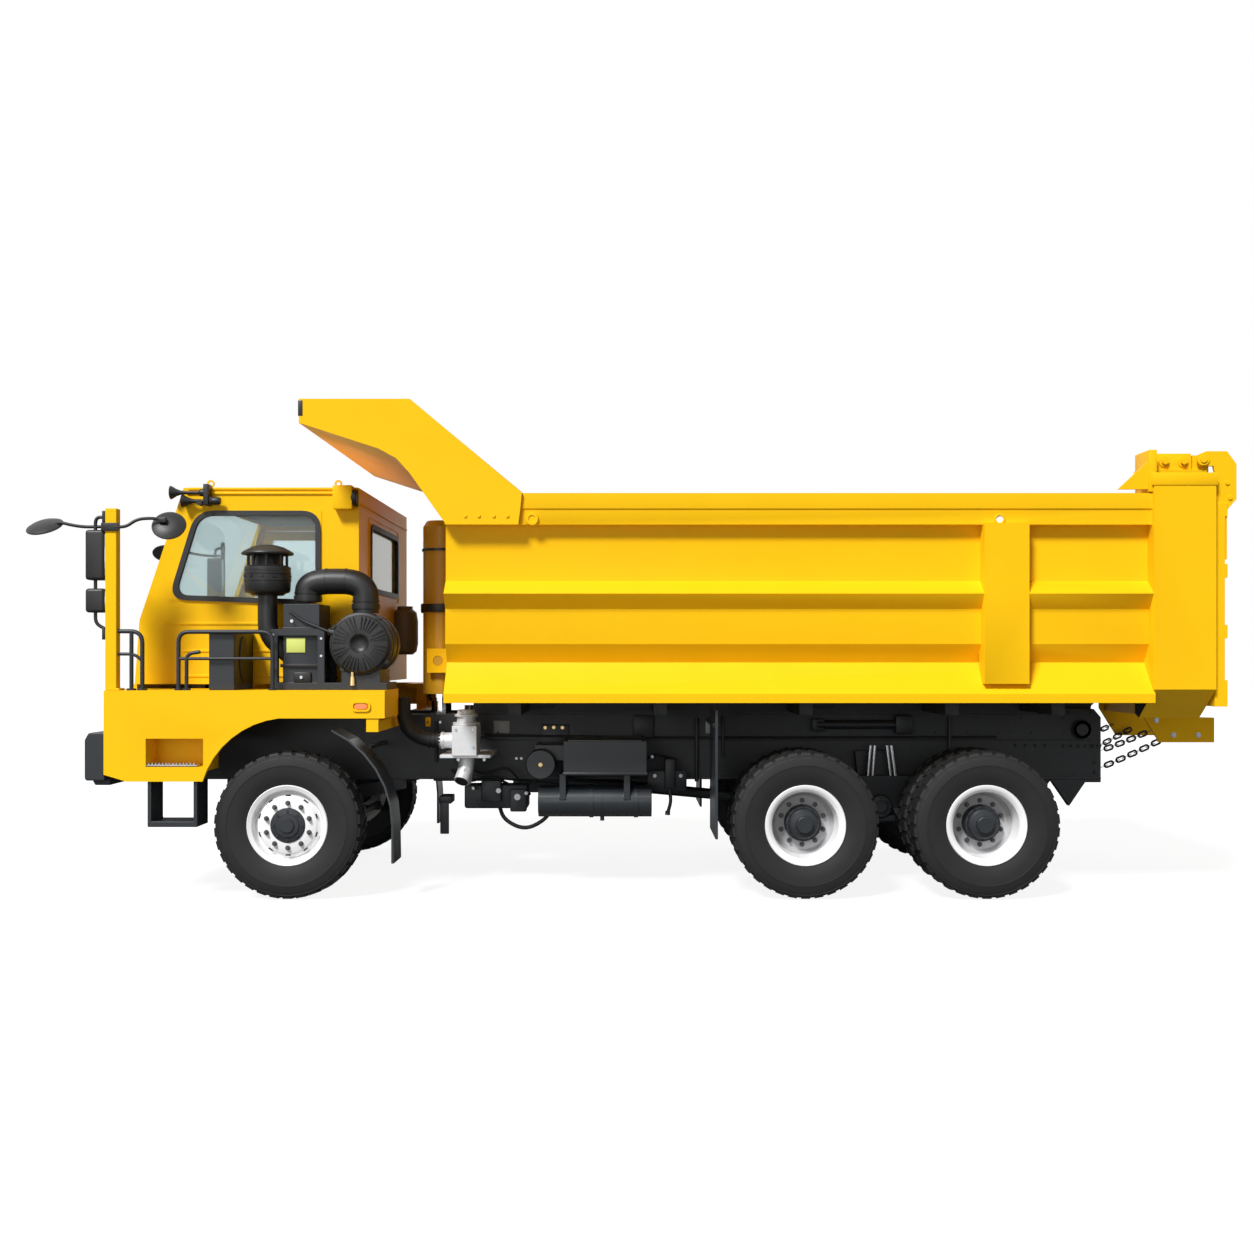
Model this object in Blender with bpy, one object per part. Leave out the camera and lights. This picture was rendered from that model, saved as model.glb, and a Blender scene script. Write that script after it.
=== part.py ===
# Mining dump truck: a 6x4 wide-body tipper with an offset cab, a ribbed tipping
# bed, a front hoist and a top-hung tailgate. Metres, +Z up, front towards -X,
# the truck's left side towards -Y, wheels standing on z = 0.
import math

import bmesh
import bpy
from mathutils import Matrix, Vector

for old in list(bpy.data.objects):
    bpy.data.objects.remove(old, do_unlink=True)

# Driving dimensions. Lengths along X are written from the truck's datum, which
# lies DATUM_X from the origin, so that the whole truck is centred on it.
DATUM_X = -0.1361
GAP = 0.0003            # seat between two touching pieces
RUN = 0.0005            # running clearance of a shaft in its bore
BODY_HALF = 1.50        # half the width over the bed and fenders

FRONT_AXLE_X = -2.53
MID_AXLE_X = 1.33
REAR_AXLE_X = 2.68
TYRE_R = 0.5625
TYRE_SIDES = 20
AXLE_Z = TYRE_R * math.cos(math.pi / TYRE_SIDES)
TYRE_W = 0.31
TRACK_OUTER = 1.245     # wheel centre line of the front and outer rear tyres
TRACK_INNER = 0.895
SPINDLE_R = 0.045
DUAL_SHAFT_R = 0.055
KINGPIN_Y = 1.00
KINGPIN_R = 0.03
ARM_LENGTH = 0.25       # steering arm, kingpin to tie rod

RAIL_OUT = 0.43
RAIL_IN = 0.36
RAIL_TOP = 1.345
RAIL_BOTTOM = 0.815
RAIL_FRONT = -3.85
RAIL_TAIL = 3.857

PIVOT_X = 3.696         # bed tipping pivot
PIVOT_Z = 1.221
PIVOT_R = 0.05
GATE_X = 4.26           # tailgate hinge
GATE_Z = 3.274
GATE_R = 0.03

DECK_Z = 1.566          # top of the fender decks
DECK_T = 0.036
PANEL_T = 0.03
FENDER_REAR = -1.782
FENDER_BOTTOM = 0.895

CAB_LEFT = -0.90
CAB_RIGHT = 1.40
CAB_FLOOR = 1.60
CAB_ROOF = 3.13
CAB_REAR = -2.09
CAB_WALL = 0.05
DOOR_FRONT = -3.66
DOOR_REAR = -2.46
DOOR_BOTTOM = 1.70
DOOR_TOP = 3.00
DOOR_GAP = 0.006
DOOR_LUGS = (DOOR_BOTTOM + 0.08, DOOR_BOTTOM + 0.38)

BED_FRONT = -1.35
BED_TAIL = 4.334
BED_FLOOR = 1.474
FLOOR_T = 0.08
BED_INNER = 1.27
BED_TOP = 3.022

HOIST_X = -1.572        # centre of the hoist
TRUNNION_Z = 1.78
ROD_PIN_Z = 1.25
BARREL_R = 0.15
BARREL_TOP = 2.955
BARREL_BOTTOM = 1.50
TUBE_WALL = 0.020
TUBE_GAP = 0.0008

PAINTS = {
    "yellow": ((0.95, 0.55, 0.01, 1.0), 0.40, 0.0),
    "charcoal": ((0.03, 0.035, 0.04, 1.0), 0.50, 0.0),
    "plastic": ((0.02, 0.02, 0.02, 1.0), 0.60, 0.0),
    "rubber": ((0.015, 0.015, 0.016, 1.0), 0.80, 0.0),
    "rim": ((0.70, 0.71, 0.73, 1.0), 0.35, 0.3),
    "glass": ((0.25, 0.32, 0.38, 1.0), 0.08, 0.0),
    "steel": ((0.45, 0.46, 0.48, 1.0), 0.35, 0.9),
    "grey": ((0.50, 0.51, 0.52, 1.0), 0.55, 0.3),
    "seat": ((0.02, 0.02, 0.022, 1.0), 0.85, 0.0),
}
materials = {}


def paint(name):
    if name not in materials:
        colour, roughness, metallic = PAINTS[name]
        material = bpy.data.materials.new(name)
        material.use_nodes = True
        shader = material.node_tree.nodes["Principled BSDF"]
        shader.inputs["Base Color"].default_value = colour
        shader.inputs["Roughness"].default_value = roughness
        shader.inputs["Metallic"].default_value = metallic
        materials[name] = material
    return materials[name]


# Shapes. Each function returns a closed bmesh in the datum's coordinates.

def loft(rings, closed=False):
    """Skin a list of rings of equal length; cap the ends unless closed."""
    bm = bmesh.new()
    rows = [[bm.verts.new(p) for p in ring] for ring in rings]
    count = len(rows[0])
    spans = len(rows) if closed else len(rows) - 1
    for i in range(spans):
        here, there = rows[i], rows[(i + 1) % len(rows)]
        for j in range(count):
            k = (j + 1) % count
            bm.faces.new((here[j], here[k], there[k], there[j]))
    if not closed:
        bm.faces.new(rows[0])
        bm.faces.new(rows[-1])
    bmesh.ops.recalc_face_normals(bm, faces=bm.faces)
    return bm


def prism(outline, axis, low, high):
    """Extrude an outline along an axis. Outlines are (x, z), (y, z) or (x, y)."""
    def point(a, b, c):
        return {"x": (c, a, b), "y": (a, c, b), "z": (a, b, c)}[axis]
    return loft([[point(a, b, c) for a, b in outline] for c in (low, high)])


def box(x0, x1, y0, y1, z0, z1):
    return prism([(x0, z0), (x1, z0), (x1, z1), (x0, z1)], "y", y0, y1)


def rod(start, end, radius, sides=12):
    start, end = Vector(start), Vector(end)
    turn = (end - start).to_track_quat("Z", "Y")
    rings = []
    for centre in (start, end):
        ring = []
        for i in range(sides):
            angle = 2 * math.pi * i / sides
            spoke = Vector((radius * math.cos(angle), radius * math.sin(angle), 0))
            ring.append(centre + turn @ spoke)
        rings.append(ring)
    return loft(rings)


def bore(start, end, shaft, sides=24):
    """A cutter round a shaft, whose flats clear the shaft's corners as it turns."""
    return rod(start, end, (shaft + RUN) / math.cos(math.pi / sides), sides)


def pipe(points, radius, sides=6):
    """A bent tube through a list of points, mitred at each of them."""
    points = [Vector(p) for p in points]
    heading = (points[1] - points[0]).normalized()
    side = heading.orthogonal().normalized()
    rings = []
    for i, point in enumerate(points):
        before = (point - points[i - 1]).normalized() if i else heading
        after = (points[i + 1] - point).normalized() if i + 1 < len(points) else before
        along = (before + after).normalized()
        side = (side - along * side.dot(along)).normalized()
        up = along.cross(side)
        ring = []
        for k in range(sides):
            angle = 2 * math.pi * k / sides
            ring.append(point + radius * (math.cos(angle) * side + math.sin(angle) * up))
        rings.append(ring)
    return loft(rings)


def turned(profile, centre, axis="y", sides=TYRE_SIDES):
    """Turn a closed (radius, along) profile about an axis through the centre.

    The flats of the polygon lie at the bottom, where a tyre meets the ground.
    """
    cx, cy, cz = centre
    rings = []
    for i in range(sides):
        angle = 2 * math.pi * (i + 0.5) / sides - math.pi / 2
        c, s = math.cos(angle), math.sin(angle)
        if axis == "y":
            rings.append([(cx + r * c, cy + a, cz + r * s) for r, a in profile])
        else:
            rings.append([(cx + r * c, cy + r * s, cz + a) for r, a in profile])
    bm = loft(rings, closed=True)
    bmesh.ops.remove_doubles(bm, verts=bm.verts, dist=0.00001)
    bmesh.ops.dissolve_degenerate(bm, edges=bm.edges, dist=0.00001)
    bmesh.ops.recalc_face_normals(bm, faces=bm.faces)
    return bm


def mirrored(bm):
    """The same shape on the truck's other side."""
    copy = bm.copy()
    bmesh.ops.scale(copy, vec=(1, -1, 1), verts=copy.verts)
    bmesh.ops.reverse_faces(copy, faces=copy.faces)
    return copy


def both(shapes):
    return shapes + [mirrored(shape) for shape in shapes]


def arc(centre, radius, start, end, steps):
    """Points of an arc in the XZ plane, with angles in degrees."""
    points = []
    for i in range(steps + 1):
        angle = math.radians(start + (end - start) * i / steps)
        points.append((centre[0] + radius * math.cos(angle),
                       centre[1] + radius * math.sin(angle)))
    return points


# Bodies: an empty stands on each joint and carries what moves with it.
bodies = {}


def body(name, parent, place):
    empty = bpy.data.objects.new("axis_" + name, None)
    bpy.context.scene.collection.objects.link(empty)
    here = Vector(place)
    if parent:
        empty.parent = bodies[parent][0]
        empty.location = here - bodies[parent][1]
    else:
        empty.location = here + Vector((DATUM_X, 0, 0))
    bodies[name] = (empty, here)


def solid(name, bm, body_name, material, guide=False):
    """Put one shape in the scene, with its origin on its body's axis."""
    empty, place = bodies[body_name]
    mesh = bpy.data.meshes.new(name)
    bm.to_mesh(mesh)
    bm.free()
    mesh.transform(Matrix.Translation(-place))
    mesh.materials.append(paint(material))
    item = bpy.data.objects.new(name, mesh)
    item.parent = empty
    if guide:
        item.hide_render = True
        item.display_type = "WIRE"
    return item


def node(name, body_name, material, shapes, cuts=()):
    """One sub-part: its shapes joined into one body, less its cuts."""
    item = solid(name, shapes[0], body_name, material)
    bpy.context.scene.collection.objects.link(item)
    for tag, group, operation in (("add", shapes[1:], "UNION"), ("cut", cuts, "DIFFERENCE")):
        if not group:
            continue
        holder = bpy.data.collections.new(name + "_" + tag)
        bpy.context.scene.collection.children.link(holder)
        for i, bm in enumerate(group):
            guide = solid(f"{name}_{tag}_{i}", bm, body_name, material, guide=True)
            holder.objects.link(guide)
        modifier = item.modifiers.new(tag, "BOOLEAN")
        modifier.operation = operation
        modifier.operand_type = "COLLECTION"
        modifier.collection = holder
        modifier.solver = "EXACT"
    item.data.shade_smooth()
    item.data.set_sharp_from_angle(angle=math.radians(35))
    return item


body("chassis", None, (0, 0, 0))
body("left_steer", "chassis", (FRONT_AXLE_X, -KINGPIN_Y, AXLE_Z))
body("right_steer", "chassis", (FRONT_AXLE_X, KINGPIN_Y, AXLE_Z))
body("tie", "chassis", (FRONT_AXLE_X + ARM_LENGTH, 0, AXLE_Z))
body("front_left", "left_steer", (FRONT_AXLE_X, -TRACK_OUTER, AXLE_Z))
body("front_right", "right_steer", (FRONT_AXLE_X, TRACK_OUTER, AXLE_Z))
DUALS = [("mid_left", MID_AXLE_X, -1), ("mid_right", MID_AXLE_X, 1),
         ("rear_left", REAR_AXLE_X, -1), ("rear_right", REAR_AXLE_X, 1)]
for station, axle_x, side in DUALS:
    body(station, "chassis", (axle_x, side * TRACK_OUTER, AXLE_Z))
DOOR_AXIS_Y = CAB_RIGHT + 0.018
body("door", "chassis", (DOOR_FRONT, DOOR_AXIS_Y, DOOR_BOTTOM))
body("bed", "chassis", (PIVOT_X, 0, PIVOT_Z))
body("tailgate", "bed", (GATE_X, 0, GATE_Z))
body("hoist", "bed", (HOIST_X, 0, TRUNNION_Z))
body("stage_1", "hoist", (HOIST_X, 0, TRUNNION_Z))
body("stage_2", "stage_1", (HOIST_X, 0, TRUNNION_Z))
body("stage_3", "stage_2", (HOIST_X, 0, TRUNNION_Z))


# Chassis frame: two rails, cross members, tail plates, pivot shaft, cab posts
# and the two plates that hold the foot of the hoist.
def chassis_frame():
    rail = [(RAIL_FRONT + GAP, 0.93), (RAIL_FRONT + 0.15, RAIL_BOTTOM),
            (3.45, RAIL_BOTTOM), (3.60, 0.598), (3.73, 0.79), (RAIL_TAIL, 0.79),
            (RAIL_TAIL, 1.32), (3.80, 1.388), (3.388, 1.388), (3.37, RAIL_TOP),
            (RAIL_FRONT + GAP, RAIL_TOP)]
    shapes = [prism(rail, "y", RAIL_IN, RAIL_OUT)]
    shapes.append(rod((PIVOT_X, RAIL_OUT - 0.01, PIVOT_Z),
                      (PIVOT_X, RAIL_OUT + 0.03, PIVOT_Z), 0.076))
    for post_x in (-3.62, -2.30):
        shapes.append(box(post_x - 0.06, post_x + 0.06, RAIL_IN, RAIL_OUT,
                          RAIL_TOP - 0.02, CAB_FLOOR - GAP))
    shapes.append(box(HOIST_X - 0.11, HOIST_X + 0.11, 0.10, 0.125, 1.0, 1.33))
    shapes = both(shapes)
    for x0, x1, z0, z1 in ((-3.80, -3.68, 0.95, 1.25), (-1.68, -1.46, 0.96, 1.08),
                           (-0.30, -0.18, 0.98, 1.25), (0.88, 0.98, 0.98, 1.25),
                           (1.93, 2.08, 0.98, 1.25), (3.15, 3.27, 0.90, 1.25)):
        shapes.append(box(x0, x1, -RAIL_IN - 0.01, RAIL_IN + 0.01, z0, z1))
    shapes.append(box(3.60, 3.75, -RAIL_IN - 0.01, RAIL_IN + 0.01, 0.82, 1.02))
    shapes.append(rod((PIVOT_X, -RAIL_OUT + 0.01, PIVOT_Z),
                      (PIVOT_X, RAIL_OUT - 0.01, PIVOT_Z), PIVOT_R))
    node("chassis_frame", "chassis", "charcoal", shapes)


def front_bumper():
    front = RAIL_FRONT - 0.15
    profile = [(front + 0.03, 0.856), (RAIL_FRONT, 0.856), (RAIL_FRONT, 1.253),
               (front + 0.03, 1.253), (front, 1.20), (front, 0.92)]
    ends = [box(front - 0.1, RAIL_FRONT + 0.1, 1.36, 1.60, 0.78, 0.90)]
    node("front_bumper", "chassis", "charcoal",
         [prism(profile, "y", -1.48, 1.48)], both(ends))


# Fenders: a side panel with a wheel arch, a deck, a front face and two arms to
# the frame. The step pocket is sunk into the panel ahead of the wheel.
def fender_shapes():
    arch = arc((-2.49, 0.702), 0.662, 163, 96, 8)
    panel = [(RAIL_FRONT + GAP, 0.946), (-3.68, FENDER_BOTTOM)] + arch
    panel += [(-2.54, 1.36), (FENDER_REAR, 1.36), (FENDER_REAR, DECK_Z),
              (RAIL_FRONT + GAP, DECK_Z)]
    outer = -BODY_HALF
    inner = CAB_LEFT - GAP
    shapes = [
        prism(panel, "y", outer, outer + PANEL_T),
        box(RAIL_FRONT + GAP, FENDER_REAR, outer, inner, DECK_Z - DECK_T, DECK_Z),
        box(RAIL_FRONT + GAP, RAIL_FRONT + PANEL_T, outer, inner, 0.946, DECK_Z),
        box(FENDER_REAR - PANEL_T, FENDER_REAR, outer, inner, 1.36, DECK_Z),
        box(-3.80, -3.70, outer + 0.01, -RAIL_OUT - GAP, 1.26, 1.34),
        box(-1.92, -1.83, outer + 0.01, -RAIL_OUT - GAP, 1.26, 1.34),
        box(-1.92, -1.83, outer + 0.01, outer + 0.10, 1.27, 1.40),
        box(-1.92, -1.83, -0.99, inner, 1.27, 1.55),
        box(-3.57, -3.087, outer + 0.01, outer + 0.28, 0.975, 1.24),
    ]
    cuts = [box(-3.54, -3.117, outer - 0.02, outer + 0.25, 1.003, 1.211)]
    return shapes, cuts


def left_fender():
    shapes, cuts = fender_shapes()
    node("left_fender", "chassis", "yellow", shapes, cuts)


def right_fender():
    shapes, cuts = fender_shapes()
    inner = CAB_RIGHT + GAP
    shapes = [mirrored(shape) for shape in shapes]
    cuts = [mirrored(cut) for cut in cuts]
    cuts.append(box(RAIL_FRONT + 0.0, CAB_REAR + 0.08, -CAB_LEFT - 0.05, inner,
                    DECK_Z - 0.10, DECK_Z + 0.1))
    node("right_fender", "chassis", "yellow", shapes, cuts)


def front_panel():
    """The cab's front apron, between the fenders."""
    top = CAB_FLOOR - GAP
    shapes = [box(RAIL_FRONT + GAP, RAIL_FRONT + 0.03, -0.8997, 0.8997,
                  RAIL_TOP + GAP, top)]
    shapes.append(box(RAIL_FRONT + GAP, RAIL_FRONT + 0.12, -0.33, 0.33,
                      RAIL_TOP + GAP, RAIL_TOP + 0.05))
    node("front_panel", "chassis", "yellow", shapes)


# Cab: a hollow shell cut by its windows and its door.
CAB_OUTLINE = [(-3.838, CAB_FLOOR), (CAB_REAR, CAB_FLOOR), (CAB_REAR, CAB_ROOF),
               (-3.455, CAB_ROOF), (-3.80, 2.10)]
SCREEN = ((-3.80, 2.10), (-3.455, CAB_ROOF))
SCREEN_LOW, SCREEN_HIGH = 0.06, 0.93
SCREEN_LEFT, SCREEN_RIGHT = CAB_LEFT + 0.12, CAB_RIGHT - 0.12
SIDE_WINDOW = [(-3.54, 2.28), (-2.41, 2.24), (-2.41, 2.927), (-3.34, 2.927)]
REAR_WINDOW = (-0.43, 0.84, 2.36, 2.87)


def inset(outline, width):
    """Move each side of a convex outline inwards by the width."""
    count = len(outline)
    centre = Vector((sum(p[0] for p in outline) / count,
                     sum(p[1] for p in outline) / count))
    lines = []
    for i in range(count):
        a, b = Vector(outline[i]), Vector(outline[(i + 1) % count])
        normal = Vector((-(b - a).y, (b - a).x)).normalized()
        if normal.dot(centre - a) < 0:
            normal = -normal
        lines.append((a + normal * width, (b - a).normalized()))
    result = []
    for i in range(count):
        (p, d), (q, e) = lines[i - 1], lines[i]
        along = ((q - p).x * e.y - (q - p).y * e.x) / (d.x * e.y - d.y * e.x)
        result.append(tuple(p + d * along))
    return result


def screen_slab(low, high, front, back):
    """An outline on the slanted windscreen, from its outer plane inwards."""
    a, b = Vector(SCREEN[0]), Vector(SCREEN[1])
    inwards = Vector(((b - a).y, -(b - a).x)).normalized()
    foot, head = a.lerp(b, low), a.lerp(b, high)
    return [tuple(foot + inwards * front), tuple(foot + inwards * back),
            tuple(head + inwards * back), tuple(head + inwards * front)]


def cab_shell():
    inner = inset(CAB_OUTLINE, CAB_WALL)
    shapes = [prism(CAB_OUTLINE, "y", CAB_LEFT, CAB_RIGHT)]
    for lug_z in DOOR_LUGS:
        shapes.append(rod((DOOR_FRONT, DOOR_AXIS_Y, lug_z),
                          (DOOR_FRONT, DOOR_AXIS_Y, lug_z + 0.05), 0.015))
        shapes.append(box(DOOR_FRONT - 0.06, DOOR_FRONT, CAB_RIGHT - 0.02,
                          DOOR_AXIS_Y + 0.006, lug_z, lug_z + 0.05))
    cuts = [prism(inner, "y", CAB_LEFT + CAB_WALL, CAB_RIGHT - CAB_WALL)]
    cuts.append(prism(SIDE_WINDOW, "y", CAB_LEFT - 0.1, CAB_LEFT + 0.1))
    y0, y1, z0, z1 = REAR_WINDOW
    cuts.append(box(CAB_REAR - 0.1, CAB_REAR + 0.1, y0, y1, z0, z1))
    cuts.append(prism(screen_slab(SCREEN_LOW, SCREEN_HIGH, -0.1, 0.1), "y",
                      SCREEN_LEFT, SCREEN_RIGHT))
    cuts.append(prism(DOOR_OUTLINE, "y", CAB_RIGHT - 0.1, CAB_RIGHT + 0.003))
    node("cab_shell", "chassis", "yellow", shapes, cuts)


DOOR_OUTLINE = [(DOOR_FRONT, DOOR_BOTTOM), (DOOR_REAR, DOOR_BOTTOM),
                (DOOR_REAR, DOOR_TOP), (-3.41, DOOR_TOP), (DOOR_FRONT, 2.25)]
DOOR_WINDOW = inset([(DOOR_FRONT, 2.20), (DOOR_REAR, 2.20), (DOOR_REAR, DOOR_TOP),
                     (-3.41, DOOR_TOP)], 0.09)


def cab_door():
    outline = inset(DOOR_OUTLINE, DOOR_GAP)
    shapes = [prism(outline, "y", CAB_RIGHT - CAB_WALL, CAB_RIGHT)]
    for lug_z in DOOR_LUGS:
        low, high = lug_z + 0.05 + GAP, lug_z + 0.10
        shapes.append(rod((DOOR_FRONT, DOOR_AXIS_Y, low),
                          (DOOR_FRONT, DOOR_AXIS_Y, high), 0.015))
        shapes.append(box(DOOR_FRONT + DOOR_GAP, DOOR_FRONT + 0.08, CAB_RIGHT - 0.01,
                          DOOR_AXIS_Y + 0.006, low, high))
    shapes.append(box(DOOR_REAR - 0.17, DOOR_REAR - 0.05, CAB_RIGHT - 0.01,
                      CAB_RIGHT + 0.03, 2.02, 2.06))
    node("cab_door", "door", "yellow", shapes,
         [prism(DOOR_WINDOW, "y", CAB_RIGHT - 0.1, CAB_RIGHT + 0.1)])
    node("cab_door_window", "door", "glass",
         [prism(inset(DOOR_WINDOW, GAP), "y", CAB_RIGHT - 0.035, CAB_RIGHT - 0.015)])


def cab_glass():
    slab = screen_slab(SCREEN_LOW, SCREEN_HIGH, 0.012, 0.034)
    node("windscreen", "chassis", "glass",
         [prism(inset(slab, GAP), "y", SCREEN_LEFT + GAP, SCREEN_RIGHT - GAP)])
    node("left_cab_window", "chassis", "glass",
         [prism(inset(SIDE_WINDOW, GAP), "y", CAB_LEFT + 0.012, CAB_LEFT + 0.03)])
    y0, y1, z0, z1 = REAR_WINDOW
    node("rear_cab_window", "chassis", "glass",
         [box(CAB_REAR - 0.03, CAB_REAR - 0.012, y0 + GAP, y1 - GAP,
              z0 + GAP, z1 - GAP)])


def cab_interior():
    floor = CAB_FLOOR + CAB_WALL + GAP
    seat_y = 0.72
    seat = [box(-2.92, -2.40, seat_y - 0.24, seat_y + 0.24, 2.02, 2.15),
            box(-2.50, -2.38, seat_y - 0.24, seat_y + 0.24, 2.05, 2.78),
            box(-2.82, -2.50, seat_y - 0.16, seat_y + 0.16, floor, 2.05)]
    node("driver_seat", "chassis", "seat", seat)
    dash = [prism([(-3.70, 1.9), (-3.35, 1.9), (-3.35, 2.10), (-3.50, 2.20),
                   (-3.70, 2.12)], "y", CAB_LEFT + 0.08, CAB_RIGHT - 0.08),
            box(-3.65, -3.50, -0.5, 1.0, floor, 1.95),
            rod((-3.45, seat_y, 2.05), (-3.20, seat_y, 2.32), 0.03, 8)]
    wheel = turned([(0.20, -0.012), (0.20, 0.012), (0.225, 0.012), (0.225, -0.012)],
                   (0, 0, 0), "z", 16)
    spoke = box(-0.21, 0.21, -0.02, 0.02, -0.008, 0.008)
    lean = Vector((0.25, 0, 0.27)).to_track_quat("Z", "Y").to_matrix().to_4x4()
    place = Matrix.Translation((-3.20, seat_y, 2.32)) @ lean
    for shape in (wheel, spoke):
        bmesh.ops.transform(shape, matrix=place, verts=shape.verts)
        dash.append(shape)
    node("dashboard", "chassis", "plastic", dash)


# Handrails and mirrors.
def handrails():
    tube = 0.016
    foot = DECK_Z + GAP
    y = -BODY_HALF + 0.05
    front = [pipe([(-3.694, y, foot), (-3.694, y, 1.96), (-3.665, y, 2.002),
                   (-3.61, y, 2.002), (-3.582, y, 1.96), (-3.582, y, foot)], tube),
             rod((-3.694, y, 1.834), (-3.582, y, 1.834), tube - 0.003, 8)]
    for foot_x in (-3.694, -3.582):
        front.append(rod((foot_x, y, foot), (foot_x, y, foot + 0.012), 0.035))
    node("front_handrail", "chassis", "charcoal", front)
    rear = [pipe([(-3.286, y, foot), (-3.286, y, 1.95), (-3.25, y, 1.998),
                  (-2.60, y, 1.998)], tube),
            pipe([(-3.224, y, foot), (-3.224, y, 1.82), (-2.62, y, 1.82)], tube),
            rod((-3.286, y, 1.75), (-3.224, y, 1.75), tube - 0.003, 8),
            rod((-2.64, y, foot), (-2.64, y, 1.998), tube, 8)]
    for foot_x in (-3.286, -3.224, -2.64):
        rear.append(rod((foot_x, y, foot), (foot_x, y, foot + 0.012), 0.03))
    node("rear_handrail", "chassis", "charcoal", rear)


POST_X = (-3.845, -3.76)
POST_Y = (-1.485, -1.405)


def mirror_heads():
    """Left mirror heads on their arms, ahead of the post and behind it."""
    x0, y0, y1 = POST_X[0] - GAP, POST_Y[0], POST_Y[1]
    mid_y = (y0 + y1) / 2
    shapes = [
        box(x0 - 0.045, x0, y0, y1, 1.95, 2.90),
        box(-3.985, -3.905, y0, y1 + 0.10, 2.38, 2.75),
        box(-3.985, -3.905, y0, y1 + 0.06, 2.14, 2.32),
        box(-3.95, x0 - 0.02, mid_y - 0.015, mid_y + 0.015, 2.22, 2.25),
        box(-3.95, x0 - 0.02, mid_y - 0.015, mid_y + 0.015, 2.55, 2.58),
        pipe([(x0 - 0.02, mid_y, 2.86), (-4.10, mid_y + 0.04, 2.90),
              (-4.34, -1.36, 2.81)], 0.014),
        rod((-4.34, -1.353, 2.82), (-4.345, -1.36, 2.75), 0.135, 16),
    ]
    return shapes


def mirrors():
    x0, x1 = POST_X
    y0, y1 = POST_Y
    post = [box(x0, x1, y0, y1, DECK_Z + GAP, 2.908),
            box(x0, x1 + 0.02, y0, y1 + 0.04, DECK_Z + GAP, DECK_Z + 0.015)]
    node("left_mirror_post", "chassis", "yellow", post)
    shapes = mirror_heads()
    shapes.append(box(x0 - 0.03, x1 + 0.25, y1 + GAP, y1 + 0.03, 2.66, 2.69))
    shapes.append(box(x0 - 0.04, x0 - 0.005, y0 + 0.02, y1 + 0.03, 2.66, 2.69))
    shapes.append(rod((-3.42, y1 + 0.0, 2.70), (-3.39, y1 + 0.05, 2.74), 0.12, 16))
    shapes.append(rod((x1 + 0.2, y1 + 0.02, 2.675), (-3.41, y1 + 0.02, 2.71), 0.012, 8))
    node("left_mirrors", "chassis", "plastic", shapes)
    right = [mirrored(shape) for shape in mirror_heads()]
    right.append(pipe([(-3.865, 1.45, 2.00), (-3.80, 1.36, 2.05), (-3.66, 1.30, 2.09)],
                      0.02))
    cuts = [prism(inset(CAB_OUTLINE, -GAP), "y", CAB_LEFT - GAP, CAB_RIGHT + GAP)]
    node("right_mirrors", "chassis", "plastic", right, cuts)


# Air intake group on the left deck.
INTAKE_Y = -1.15
PIPE_R = 0.10


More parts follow.
